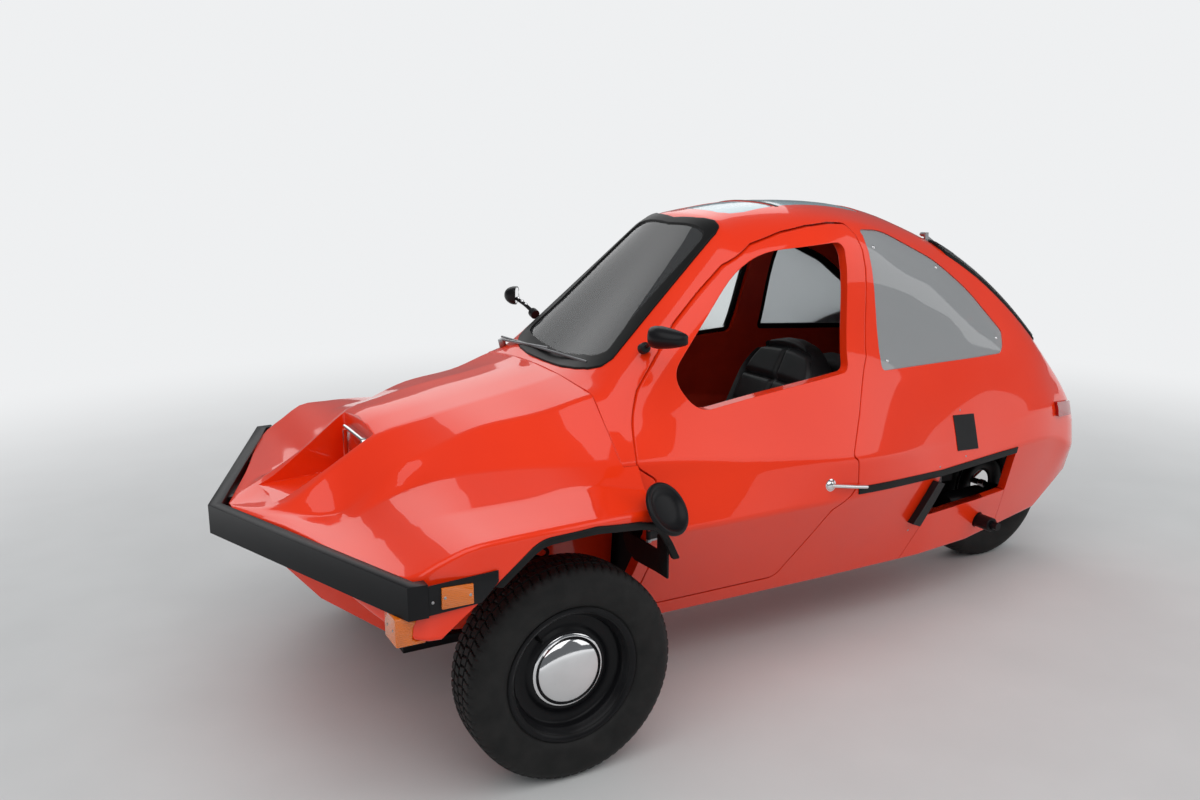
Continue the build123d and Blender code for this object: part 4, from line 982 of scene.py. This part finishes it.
def build_glazing():
    sheet = (PANE_STEP, PANE_STEP + GLASS)
    outer, inner = both_sides(SCREEN_OUT, 14.0), both_sides(SCREEN_IN, 14.0)
    ring = cut(upright("screen_ring", inset(outer, 0.2), *TALL), upright("i", inner, *TALLER))
    depths = (-SCREEN_SEAL_PROUD, SEAL_DEPTH)
    layer_piece("windscreen_rubber", ring, depths, SCREEN_SPAN, SEAL, "windscreen_seal")
    pane = upright("pane", inset(inner, SEAT_GAP), *TALL)
    layer_piece("windscreen_pane", pane, sheet, SCREEN_SPAN, PANE, "windscreen_glass")
    for name, plan in (("roof_panel_front", ROOF_FRONT), ("roof_panel_rear", ROOF_REAR)):
        pane = upright("pane", inset(both_sides(plan, 8.0), SEAT_GAP), 900, 1400)
        layer_piece(name + "_sheet", pane, sheet, ROOF_SPAN, ROOF, name)
    hatch = both_sides(from_rear(HATCH), 10.0)
    hole = upright("i", inset(hatch, 15), *TALLER)
    ring = cut(upright("hatch_ring", inset(hatch, SEAT_GAP), *TALL), hole)
    layer_piece("hatch_rubber", ring, (-HATCH_SEAL_PROUD, SEAL_DEPTH), HATCH_SPAN, SEAL, "hatch_seal")
    low = HATCH_SEAL_PROUD + SEAT_GAP
    lid = upright("lid", inset(hatch, SHUT_GAP), *TALL)
    layer_piece("hatch_pane", lid, (-low - GLASS, -low), HATCH_SPAN, PANE, "hatch_glass", body="rear_hatch")
    hole = across("i", shrunk(RIGHT_WINDOW, SEAL_W), -700, 0)
    ring = cut(across("window_ring", rounded(RIGHT_WINDOW), *RIGHT_REACH), hole)
    layer_piece("side_window_rubber", ring, (-1.0, SEAL_DEPTH), WINDOW_SPAN, SEAL, "side_window_seal")
    pane = across("pane", shrunk(RIGHT_WINDOW, SEAL_W + SEAT_GAP), *RIGHT_REACH)
    layer_piece("side_window_pane", pane, sheet, WINDOW_SPAN, PANE, "side_window_glass")
    for name, (near, far), edge, hole in (
        ("left", LEFT_REACH, PANE_LEFT, HOLE_LEFT), ("right", RIGHT_REACH, PANE_RIGHT, HOLE_RIGHT),
    ):
        pane = across("pane", shrunk(edge, SEAT_GAP), near, far)
        depths = (REBATE - SEAT_GAP - GLASS, REBATE - SEAT_GAP)
        layer_piece("quarter_pane_" + name, pane, depths, QUARTER_SPAN, OLD_PANE, "quarter_window_" + name)
        gap = across("i", shrunk(hole, 18.0), near - 60, far + 60)
        ring = cut(across("gasket", shrunk(hole, SEAT_GAP), near, far), gap)
        depths = (REBATE + SEAT_GAP, REBATE + 14.0)
        layer_piece("quarter_gasket_" + name, ring, depths, QUARTER_SPAN, SEAL, "side_window_seal")


def build_strips():
    span = (STRIP_LINE[-1][0] - 60, -280)
    for name, line, near, far in (
        ("left", STRIP_LINE, 200, 700), ("right", [(-330.0, 528)] + STRIP_LINE, -700, -200),
    ):
        edge = [(x, z + STRIP_HALF_H) for x, z in line] + [(x, z - STRIP_HALF_H) for x, z in line[::-1]]
        strip = across("strip", edge, near, far)
        layer_piece("waist_strip_" + name, strip, (-3.0, -0.01), span, RUBBER, "waist_strips")
    latch = across("latch", [p[:2] for p in from_rear(LATCH)], 200, 600)
    span = (REAR_X + 560, REAR_X + 760)
    layer_piece("engine_latch_box", latch, (-24.0, -SEAT_GAP), span, TRIM, "engine_latch")
    for name, near, far in (("left", 100, 400), ("right", -400, -100)):
        marker = across("marker", rounded(from_rear(REAR_MARKER)), near, far)
        span = (REAR_X - 230, REAR_X)
        layer_piece("rear_marker_" + name, marker, (-12.0, -SEAT_GAP), span, RED, "rear_marker_lamps")
    joint = upright("joint", ROOF_JOINT, 1100, 1400)
    layer_piece("roof_strip", joint, (-1.0, -0.05), (-1000, -860), TRIM)
    layer_piece("vent_plate", across("vent", VENT, 200, 600), (-2.0, -0.05), (-1620, -1420), PANEL)


# Wheels
TYRE_R = 268.0
RIM_HALF = 61.0
TREAD_HALF = 50.0
GROOVES = (-26.0, 0.0, 26.0)
TYRE_SIDE = [
    (153.0, 55.0), (160.0, 55.5), (170.0, 56.5), (176.0, 63.0), (190.0, 68.5), (206.0, 71.6),
    (222.0, 72.4), (236.0, 71.0), (247.0, 67.6), (248.5, 66.6), (255.0, 62.5), (261.0, 57.0), (264.5, 52.0),
]
VALVE = [(0, 30), (2.6, 30), (3.4, 27), (3.4, 12), (5.0, 8), (6.0, 0), (0, 0)]
REAR_NUT = [(0, 40), (9, 40), (14, 36), (14, 14), (0, 14)]


def tyre_profile():
    """Closed profile of (radius, height across the tyre), with three grooves in the tread."""
    tread = [48.0, 44.0, 40.0, 36.0, 32.0, 29.0]
    for groove in GROOVES[::-1]:
        tread += [groove + 3.2, groove + 2.4, groove - 2.4, groove - 3.2]
        if groove > GROOVES[0]:
            tread += [groove - 8.0, groove - 13.0, groove - 18.0]
    tread += [-29.0, -32.0, -36.0, -40.0, -44.0, -48.0]
    crown = []
    for h in tread:
        r = TYRE_R - 0.3 - 2.6 * (abs(h) / TREAD_HALF) ** 3
        deep = any(abs(h - groove) < 2.6 for groove in GROOVES)
        crown.append((r - 6.5 if deep else r, h))
    return TYRE_SIDE + crown + [(r, -h) for r, h in reversed(TYRE_SIDE)] + [TYRE_SIDE[0]]


def tread_ripple(r, h, a):
    """Slanting sipes across the tread blocks, and shoulder notches."""
    if r < 250.0 or abs(h) > 60.0 or any(abs(h - groove) < 3.0 for groove in GROOVES):
        return r, h
    rib = sum(h > groove for groove in GROOVES)
    slant = (0.010, -0.007, 0.007, -0.010)[rib] * h / 10.0
    pitch = 2 * math.pi / 72
    phase = ((a + slant + rib * 0.4 * pitch) / pitch) % 1.0
    if abs(h) > 50.0:
        return (r - 2.6, h) if phase < 0.34 else (r, h)
    return (r - 4.2, h) if phase < 0.17 else (r, h)


def rim_profile():
    half = RIM_HALF
    outer = [
        (168.0, half - 5), (168.4, half - 1.5), (166.5, half), (161.0, half - 0.8),
        (156.0, half - 4.0), (151.5, half - 9.0), (147.5, half - 14.0), (146.0, 42.0), (143.0, 38.5),
        (141.0, 34.0), (140.5, 24.0), (138.5, 19.0), (134.0, 16.2), (122.0, 15.0), (112.0, 15.6),
        (107.0, 18.2), (101.0, 24.4), (95.0, 26.0), (60.0, 26.0), (46.0, 14.0),
    ]
    inner = [
        (46.0, 9.0), (100.0, 10.0), (134.0, 10.5), (147.0, 4.0), (147.0, -half + 12), (156.0, -half + 3),
        (168.0, -half), (168.0, -half + 5), (153.0, -half + 7.0), (152.0, half - 8.0),
    ]
    return outer + inner + outer[:1]


def cap_profile():
    rise, base = 30.0, 26.3
    outside = [(92.0, base), (92.0, base + 2.4), (89.5, base + 4.2), (86.0, base + 4.8)]
    for t in np.linspace(0.12, math.pi / 2, 14):
        outside.append((84.0 * math.cos(t), base + 5.0 + (rise - 5.4) * math.sin(t)))
    outside[-1] = (0.0, outside[-1][1])
    inside = [(0.0, base + rise - 2.6), (60.0, base + 18.0), (88.0, base + 1.0), (88.0, base)]
    return outside + inside + outside[:1]


def build_wheels():
    for name, x, y in (
        ("front_left", 0.0, HALF_TRACK), ("front_right", 0.0, -HALF_TRACK), ("rear", REAR_X, 0.0),
    ):
        side = -1 if y < 0 else 1
        at, way = (x, y, WHEEL_Z), (0, side, 0)

        def turned(piece, profile, count, look, *nodes, spot=at, **how):
            lathe(piece, profile, spot, way, count, look, *nodes, body="wheel_" + name, **how)

        tread = {"smooth": 30.0, "ripple": tread_ripple}
        turned("tyre_tread_" + name, tyre_profile(), 720, TYRE, "tyre_" + name, **tread)
        turned("rim_disc_" + name, rim_profile(), 96, BLACK_STEEL, "rim_" + name, smooth=50.0)
        foot = (x + 118 * math.cos(0.9), y + side * 15, WHEEL_Z + 118 * math.sin(0.9))
        turned("valve_" + name, VALVE, 14, RUBBER, spot=foot)
        if name == "rear":
            turned("rear_nut", REAR_NUT, 6, STEEL, smooth=20.0)
        else:
            turned("hub_dome_" + name, cap_profile(), 96, CHROME, "hub_cap_" + name, smooth=40.0)


# Lamps, mirrors and other fittings
LAMP_Z = 690.0
LAMP_X = 300.3

# Headlamp frame rings: depth, half width, half height, corner radius
LAMP_RINGS = [
    (0, 95, 60, 14), (14, 95, 60, 14), (19, 94, 59, 13), (22, 91, 56, 12), (21, 87, 52, 10),
    (17, 84, 49, 8), (0, 83, 48, 8),
]
BULB = [(0, 11), (4, 10.4), (6.5, 8), (7, 4), (6, 0), (0, 0)]
MIRROR_AT = (-340, 418, 1012)
MIRROR_SWEEP = 30.0

# Mirror housing: reach, half height, depth
MIRROR_ROWS = [
    (0, 16, 8), (3, 21, 15), (8, 25, 24), (18, 28, 34), (36, 29, 40), (56, 26.5, 39),
    (76, 23, 36), (92, 19, 31), (104, 15, 24), (110, 11, 12),
]

# Mirror glass: reach, share of the housing's half height
MIRROR_GLASS = [(4, 0.62), (10, 0.80), (30, 0.88), (60, 0.88), (85, 0.86), (100, 0.72)]
MIRROR_FOOT = [(0, 12), (9, 11), (14, 7), (15, 2), (15, -14), (0, -14)]
MIRROR_STUD = [(0, 6), (2.6, 5.2), (4.2, 2.5), (4.2, -3), (0, -3)]
MIRROR_STUD_SPOTS = ((-352, 420, 1003), (-357, 402, 995), (-362, 385, 987))
DISH = [
    (0, -4), (30, -4.5), (44, -2.0), (52, 3.5), (57, 8.0), (62, 9.8), (66, 8.6), (68, 5.5),
    (68, 0), (60, -3), (22, -6), (22, -48), (0, -48),
]
HANDLE_BOSS = [(0, 14.5), (8, 14), (12, 11), (14, 7), (21, 4.5), (22, 2), (22, -12), (0, -12)]
HANDLE_PATH = [(-874, 511, 562), (-915, 516, 556), (-960, 517, 548), (-1000, 514, 541)]
SCREW = [(0, 2.6), (2.6, 2.2), (4.6, 1.0), (5.4, -0.6), (5.4, -3), (0, -3)]
RIVET = [(0, 1.4), (2.2, 1.1), (3.4, 0), (3.4, -2), (0, -2)]

# Screws of the quarter panes, then rivets of the engine bay's side: x, z, side
SIDE_SCREWS = [
    (-1165, 1190, 1), (-1180, 862, 1), (-1738, 868, 1), (-1480, 1108, 1),
    (-1270, 1165, -1), (-1250, 862, -1), (-1738, 868, -1), (-1480, 1108, -1),
    (-1495, 675, 1), (-1514, 529, 1), (-1375, 521, 1), (-1308, 313, 1),
]


def lamp_ring(depth, half_w, half_h, radius):
    corners = [(half_w, half_h), (-half_w, half_h), (-half_w, -half_h), (half_w, -half_h)]
    edge = rounded([(y, LAMP_Z + z, radius) for y, z in corners], 6)
    return [(LAMP_X + depth, y, z) for y, z in edge]


def lens_spot(u, v):
    """Point of the bowed lens with its upright flutes, u and v in -1..1."""
    flute = 0.35 * math.cos(u * math.pi * 14) * (abs(v) < 0.94)
    return (LAMP_X + 14.7 - 2.5 * (u * u + v * v) + flute, 82.4 * u, LAMP_Z + 47.4 * v)


def bowl_spot(t, a):
    """Point of the reflector, round in the middle and nearly square at its rim."""
    square = 1 / max(abs(math.cos(a)), abs(math.sin(a)))
    reach = t * (1 + (min(square, 1.32) - 1) * t)
    return (LAMP_X + 0.8 + 9.0 * t * t, 76 * reach * math.cos(a), LAMP_Z + 43 * reach * math.sin(a))


def build_headlamp():
    rings = [lamp_ring(*row) for row in LAMP_RINGS]
    finish(ring_piece("headlamp_frame", rings, 35.0, loop=True), CHROME, "headlight_bezel")
    wide, high = 40, 24
    rows = [[lens_spot(i / wide * 2 - 1, j / high * 2 - 1) for i in range(wide + 1)] for j in range(high + 1)]
    lens = ring_piece("headlamp_lens", rows, 60, wrap=False)
    thick = lens.modifiers.new("thick", "SOLIDIFY")
    thick.thickness = 0.002
    thick.offset = -1
    finish(apply_modifiers(lens), LAMP_GLASS, "headlight_lens")
    rings = [[bowl_spot(k / 10, a) for a in turns(48)] for k in range(11)]
    finish(ring_piece("headlamp_reflector", rings, 60), CHROME)
    lathe("headlamp_bulb", BULB, (LAMP_X + 1.2, 0, LAMP_Z), (1, 0, 0), 24, CAST)


def build_mirror(side, name):
    turn = math.radians(MIRROR_SWEEP)

    def spot(reach, depth, up):
        x = MIRROR_AT[0] - math.sin(turn) * reach + math.cos(turn) * depth
        y = MIRROR_AT[1] + math.cos(turn) * reach + math.sin(turn) * depth
        return (x, side * y, MIRROR_AT[2] + up)

    count = 20
    rings = []
    for reach, half_h, depth in [(0.4, 12.0, 5.0)] + MIRROR_ROWS + [(111.4, 6.0, 6.0)]:
        ring = []
        for k in range(count + 1):
            a = math.pi * k / count
            ring.append(spot(reach, depth * math.sin(a) ** 0.8, half_h * math.cos(a)))
        ring += [spot(reach, 1.2, half_h * 0.93 * math.cos(math.pi * (1 - k / 4))) for k in range(1, 4)]
        rings.append(ring)
    finish(ring_piece("mirror_housing_" + name, rings, 50, caps=True), SATIN, "mirrors")
    reaches, halves, _ = zip(*MIRROR_ROWS)
    edge = [(reach, np.interp(reach, reaches, halves) * share) for reach, share in MIRROR_GLASS]
    ring = [spot(reach, 0.6, h) for reach, h in edge] + [spot(reach, 0.6, -h) for reach, h in edge[::-1]]
    finish(mesh_piece("mirror_glass_" + name, place(ring), [tuple(range(len(ring)))]), CHROME)
    path = [(-370, side * 350, 970), (-360, side * 392, 990), (-350, side * 432, 1004)]
    swept("mirror_arm_" + name, path, circle(6), TRIM)
    lathe("mirror_foot_" + name, MIRROR_FOOT, (-369, side * 347, 968), (0.1, side * 0.93, 0.35), 24, TRIM)
    for k, (x, y, z) in enumerate(MIRROR_STUD_SPOTS):
        way = (0.5, side * 0.5, 0.7)
        lathe(f"mirror_stud_{name}_{k}", MIRROR_STUD, (x, side * y, z + 4), way, 16, CHROME)


def build_discs():
    """Dished discs behind the fenders, and the door's turning handle."""
    for side, name in SIDES:
        at, way = (-246, side * 664, 640), (-0.35, side * 0.74, 0.55)
        lathe("fender_disc_" + name, DISH, at, way, 64, SATIN, "fender_discs", smooth=50)
    boss = {"body": "door_left", "smooth": 40}
    lathe("handle_boss", HANDLE_BOSS, (-874, 502, 562), (0, 1, 0.05), 40, CHROME, "door_handle", **boss)
    oval = [(8 * math.cos(a), 5.5 * math.sin(a)) for a in turns(16)]
    swept("handle_lever", HANDLE_PATH, oval, CHROME, body="door_left")


def build_screws():
    """Round-headed screws of the panes and trim."""
    spots = []
    for plan in (ROOF_FRONT, ROOF_REAR):
        back, front = min(plan)[0] + 22, max(plan)[0] - 22
        spots += [(x, y) for x in (front, (front + back) / 2, back) for y in (104, -104)]
    wide_head = [(r * 1.3, h) for r, h in SCREW]
    for i, (x, y) in enumerate(spots):
        (_, top), (edge_y, edge_z) = body_keys(x)[:2]
        z = float(np.interp(abs(y), [0.0, edge_y], [top, edge_z]))
        lathe(f"screw_roof_{i}", wide_head, (x, y, z), (0, 0, 1), 20, TRIM)
    for side, _ in SIDES:
        for x, y, z in ((345, 756, 570), (289, 756, 566), (370, 750, 562)):
            lathe(f"rivet_front_{x}_{side}", RIVET, (x, side * y, z), (0, side, 0), 16, CAST)
        for y in (672, 710):
            lathe(f"screw_signal_{y}_{side}", RIVET, (446, side * y, 500), (1, 0, 0), 16, CAST)
    for i, (x, z, side) in enumerate(SIDE_SCREWS):
        y, way = side_point(x, z)
        on_pane = z > 800
        at = (x, side * (y - (REBATE - SEAT_GAP - GLASS if on_pane else 0.0)), z)
        profile, look = (SCREW, CHROME) if on_pane else (RIVET, CAST)
        lathe(f"screw_side_{i}", profile, at, (0, side * way[0], way[1]), 20, look)


def side_point(x, z):
    """Side of the body at a height: y, and the outward way there."""
    half = body_half(body_keys(x))
    for (y0, z0), (y1, z1) in zip(half, half[1:]):
        if z1 <= z <= z0 and z0 - z1 > 1e-6:
            t = (z0 - z) / (z0 - z1)
            length = math.hypot(y1 - y0, z1 - z0)
            return y0 + (y1 - y0) * t, ((z0 - z1) / length, (y1 - y0) / length)
    return half[-2][0], (1.0, 0.0)


# Cabin
SEAT_BACK_AT = (-1042, 0, 650)
SEAT_BACK_LEAN = -27.0
SEAT_BACK_LOW, SEAT_BACK_LENGTH = -274.0, 524.0
SEAT_BACK_HALF_W = 201.0
SEAT_BACK_THICK = 88.5
COLUMN_TOP = (-390, 0, 752)
COLUMN_TILT = 30.0
COLUMN_REACH = 136.3
GRIP_RING_R = 165.0
STEERING_BOSS = [(0, 20), (20, 19.5), (30, 16), (34, 10), (34, 0), (0, 0)]


def pillow(name, grid, frame_of, thickness):
    """Stuffed pad: front grid of (u, v) with its own height, closed by a flat back."""
    wide, high = len(grid[0]), len(grid)
    verts = [frame_of(u, v, h * thickness) for row in grid for u, v, h in row]
    verts += [frame_of(u, v, 0.0) for row in grid for u, v, _ in row]
    back = wide * high
    faces = []
    for a, b, c, d in bands(high, wide, wrap=False):
        faces += [(a, b, c, d), (back + a, back + d, back + c, back + b)]
    rim = list(range(wide)) + [j * wide + wide - 1 for j in range(1, high)]
    rim += [(high - 1) * wide + i for i in range(wide - 2, -1, -1)]
    rim += [j * wide for j in range(high - 2, 0, -1)]
    faces += [(a, b, back + b, back + a) for a, b in zip(rim, rim[1:] + rim[:1])]
    pad = mesh_piece(name, verts, faces, 70)
    finish(pad, VINYL, name.replace("_pad", ""))


def quilt(u, v, edge_u, edge_v, columns, rows, border):
    """Height of a quilted pad at u, v in -1..1: crowned, with sewn channels and a border."""
    near = min(1 - abs(u), 1 - abs(v))
    crown = min(1.0, max(near, 0.0) / 0.10) ** 0.45
    inside = 1 - border
    if max(abs(u), abs(v)) < inside:
        cu = (u / inside + 1) / 2 * columns
        cv = (v / inside + 1) / 2 * rows
        seam = min(abs(cu - round(cu)) / columns * edge_u, abs(cv - round(cv)) / rows * edge_v)
    else:
        seam = min(abs(abs(u) - inside) * edge_u / 2, abs(abs(v) - inside) * edge_v / 2)
    return crown * (1 - 0.42 * math.exp(-((seam / 8.0) ** 2)))


def pad_grid(cell, steps=64):
    """Rows of cells over u and v in -1..1."""
    span = [2 * k / steps - 1 for k in range(steps + 1)]
    return [[cell(u, v) for u in span] for v in span]


def build_seat():
    low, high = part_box("seat_cushion")
    centre = (low + high) / 2
    half = (high - low) / 2

    def cushion_cell(u, v):
        corner = 1 - 0.10 * (abs(u) * abs(v)) ** 6
        sewn = quilt(u, v, 2 * half.y * 1000, 2 * half.x * 1000, 2, 3, 0.16)
        return (u * corner, v * corner, 0.40 + 0.60 * sewn * (0.93 + 0.07 * (1 - u * u)))

    def cushion_frame(u, v, h):
        return (centre.x + v * half.x * 0.985, centre.y + u * half.y * 0.985, low.z + h)

    pillow("seat_cushion_pad", pad_grid(cushion_cell), cushion_frame, high.z - low.z - 0.001)

    # The back leans as in the photo, from the cushion up
    lean = math.radians(SEAT_BACK_LEAN)
    origin = Vector(place([SEAT_BACK_AT])[0])
    along_x = Vector((math.cos(lean), 0, -math.sin(lean)))
    along_z = Vector((math.sin(lean), 0, math.cos(lean)))

    def back_cell(u, v):
        z = SEAT_BACK_LOW + (v + 1) / 2 * SEAT_BACK_LENGTH
        dome = max(0.0, (z - 60) / 190)
        width = SEAT_BACK_HALF_W * (1 - 0.62 * dome ** 2.6)
        return (u * width, z - 22 * dome * u * u, 0.42 + 0.58 * quilt(u, v, 400, 500, 2, 4, 0.17))

    def back_frame(u, v, h):
        return origin + along_x * (-0.0445 + h) + Vector((0, u * MM, 0)) + along_z * (v * MM)

    pillow("seat_back_pad", pad_grid(back_cell), back_frame, SEAT_BACK_THICK * MM)


def build_steering_wheel():
    tilt = math.radians(COLUMN_TILT)
    aim = np.array((-math.cos(tilt), 0, math.sin(tilt)))
    at = np.array(COLUMN_TOP) + aim * COLUMN_REACH
    up = np.array((math.sin(tilt), 0, math.cos(tilt)))
    side = np.array((0.0, 1.0, 0.0))

    def rim_spot(a, reach):
        return at + aim * 12 + (side * math.cos(a) + up * math.sin(a)) * reach

    ring = [rim_spot(a, GRIP_RING_R) for a in turns(72)]
    swept("steering_grip", ring, circle(10.8, 16), TRIM, "steering_wheel", body="steering_wheel", loop=True)
    lathe("steering_boss", STEERING_BOSS, at, aim, 40, TRIM, body="steering_wheel")
    for k, angle in enumerate((90, 210, 330)):
        path = [rim_spot(math.radians(angle), reach) for reach in (26, 70, 110, 160)]
        swept(f"steering_spoke_{k}", path, flat_bar(11, 2), STEEL, body="steering_wheel")


def build_cabin():
    box_piece("box_behind_seat", (-1365, -1225, -90, 215, 600.4, 800), 22, PANEL, 4)
    swept("dash_edge", [(-421, y, 736) for y in np.linspace(-286, 286, 9)], circle(7), TRIM)


# Engine bay and running gear
FAN_COVER = [
    (0, 46), (12, 46), (16, 43), (30, 42), (34, 38), (58, 36), (62, 30), (84, 27), (90, 22),
    (92, 4), (92, 0), (0, 0),
]
FAN_BOLT = [(0, 8), (6, 8), (8, 6), (8, 0), (0, 0)]
EXHAUST_SLEEVE = [(15, 300), (23, 300), (23, 366), (21.5, 368), (15, 368), (15, 300)]

# With x from the rear axle
FAN_AT = (470, 149.2, 380)
FAN_DEPTH = 46.0
EXHAUST_AT = (318, 0, 266)
BELT_GUARD = [(600, 186, 478), (520, 190, 440), (410, 192, 402), (330, 190, 398)]
EXHAUST_TIP = [(318, 300, 266), (316, 366, 266), (314, 390, 266)]


def spring_path(x, y, low, high, radius, coils):
    path = []
    count = coils * 24
    for k in range(count + 1):
        a = k / 24 * 2 * math.pi
        path.append((x + radius * math.cos(a), y + radius * math.sin(a), low + (high - low) * k / count))
    return path


def build_engine():
    for side, name in SIDES:
        swept("spring_" + name, spring_path(0, side * 452, 372, 552, 30, 6), circle(5, 10), BLACK_STEEL)
    for k in range(9):
        z = 300 + 22 * k
        box_piece(f"engine_fin_{k}", (REAR_X + 408, REAR_X + 620, 150.2, 176, z, z + 6), 1.2, CAST)
    y_way = (0, 1, 0)
    (x, y, z), pipe = from_rear([FAN_AT, EXHAUST_AT])
    lathe("fan_cover", FAN_COVER, (x, y, z), y_way, 64, PANEL)
    lathe("fan_bolt", FAN_BOLT, (x, y + FAN_DEPTH, z), y_way, 6, STEEL, smooth=20)
    swept("belt_guard", from_rear(BELT_GUARD), flat_bar(3, 24), PANEL)
    lathe("exhaust_sleeve", EXHAUST_SLEEVE, pipe, y_way, 32, BLACK_STEEL)
    swept("exhaust_tip", from_rear(EXHAUST_TIP), circle(12.8, 24), BLACK_STEEL)


# CAD nodes that stay in the picture: node, look, edge radius in mm
KEPT = [
    ("nose_tub", PAINT, 3.0), ("front_bumper", SATIN, 5.0), ("marker_plates", TRIM, 0.8),
    ("marker_lenses", AMBER, 1.5), ("turn_signals", AMBER, 4.0), ("arch_trim", RUBBER, 3.0),
    ("mud_flaps", RUBBER, 1.5), ("chassis_frame", BLACK_STEEL, 3.0), ("rear_swingarm", BLACK_STEEL, 2.0),
    ("front_axle", BLACK_STEEL, 1.5), ("knuckle_left", CAST, 1.5), ("knuckle_right", CAST, 1.5),
    ("tie_rod", STEEL, 1.0), ("firewall", PANEL, 1.0), ("dashboard", PANEL, 5.0), ("rear_deck", PANEL, 1.5),
    ("seat_base", PANEL, 3.0), ("steering_column", TRIM, 1.0), ("engine_block", CAST, 4.0),
    ("exhaust", BLACK_STEEL, 1.5), ("hinge_pins", STEEL, 0.6), ("hinge_sleeves", TRIM, 0.8),
    ("hatch_brackets", STEEL, 0.8), ("hatch_leaves", STEEL, 0.6), ("wiper", STEEL, 0.6),
    ("rear_bumper", RUBBER, 6.0),
]

# Camera, light and floor
CAMERA_SPOT = (1.906, 2.791, 1.489)
CAMERA_YAW = 28.04
CAMERA_PITCH = 13.13
CAMERA_ROLL = -0.10
CAMERA_LENS = 33.12
SKY = (0.86, 0.87, 0.88)


def build_camera():
    data = bpy.data.cameras.new("camera")
    data.lens = CAMERA_LENS
    data.sensor_width = 36.0
    camera = bpy.data.objects.new("camera", data)
    yaw, pitch = math.radians(CAMERA_YAW), math.radians(CAMERA_PITCH)
    look = Vector((-math.sin(yaw) * math.cos(pitch), -math.cos(yaw) * math.cos(pitch), -math.sin(pitch)))
    camera.matrix_world = look.to_track_quat("-Z", "Y").to_matrix().to_4x4()
    camera.location = CAMERA_SPOT
    camera.rotation_euler.rotate_axis("Z", math.radians(CAMERA_ROLL))
    bpy.context.scene.collection.objects.link(camera)
    bpy.context.scene.camera = camera


def area_light(name, spot, aim, size, power):
    data = bpy.data.lights.new(name, "AREA")
    data.shape = "RECTANGLE"
    data.size, data.size_y = size
    data.energy = power
    light = shown(name, data)
    light.location = spot
    light.rotation_euler = (Vector(aim) - Vector(spot)).to_track_quat("-Z", "Y").to_euler()


def build_world():
    """Pale sky for camera and glass, a dimmer one for light, and the dimmest for reflections."""
    world = bpy.data.worlds.new("studio")
    world.use_nodes = True
    bpy.context.scene.world = world
    seen = world.node_tree.nodes["Background"]
    seen.inputs["Color"].default_value = (*SKY, 1.0)
    seen.inputs["Strength"].default_value = 1.0
    path = add(world, "LightPath").outputs
    sight = {0: path["Is Camera Ray"], 1: path["Is Transmission Ray"]}
    either = add(world, "Math", sight, operation="MAXIMUM")
    level = {1: -0.36, 2: 0.52}
    dim = add(world, "Math", {0: path["Is Glossy Ray"]}, level, operation="MULTIPLY_ADD")
    soft = add(world, "Background", {"Strength": dim.outputs["Value"]}, {"Color": (0.86, 0.90, 0.95, 1.0)})
    surface(world, either.outputs["Value"], soft.outputs["Background"], seen.outputs["Background"])


def floor_material():
    """Pale floor that fades into the backdrop's colour far from the vehicle."""
    made = material("floor_pale", (0.60, 0.60, 0.59), 0.7)
    vary_colour(made, (0.585, 0.585, 0.575), (0.615, 0.615, 0.605), 3.0)
    length = add(made, "VectorMath", {0: spot_of(made)}, operation="LENGTH")
    fade = add(
        made, "MapRange", {"Value": length.outputs["Value"]}, {"From Min": 1.9, "From Max": 5.2},
        interpolation_type="SMOOTHSTEP",
    )
    glow = add(made, "Emission", (), {"Color": (*SKY, 1.0), "Strength": 1.0})
    plain = made.node_tree.nodes["Principled BSDF"]
    surface(made, fade.outputs["Result"], plain.outputs["BSDF"], glow.outputs["Emission"])
    return made


def build_stage():
    bpy.context.scene.view_settings.view_transform = "Standard"
    build_world()
    area_light("key", (2.2, 3.0, 6.0), (0, 0, 0.4), (9.0, 7.0), 290.0)
    area_light("fill", (-5.0, 3.5, 3.6), (0, 0, 0.5), (5.0, 4.0), 70.0)
    area_light("back", (-1.0, -5.0, 3.8), (0, 0, 0.6), (6.0, 3.5), 75.0)
    mesh = bpy.data.meshes.new("floor")
    mesh.from_pydata([(x, y, 0.0) for x, y in circle(60.0, 64)], [], [tuple(range(64))])
    mesh.materials.append(floor_material())
    shown("floor", mesh)


build_camera()
build_stage()
build_shell()
build_glazing()
build_strips()
build_wheels()
build_headlamp()
for mirror in SIDES:
    build_mirror(*mirror)
build_discs()
build_screws()
build_seat()
build_steering_wheel()
build_cabin()
build_engine()
for kept in KEPT:
    dress(*kept)
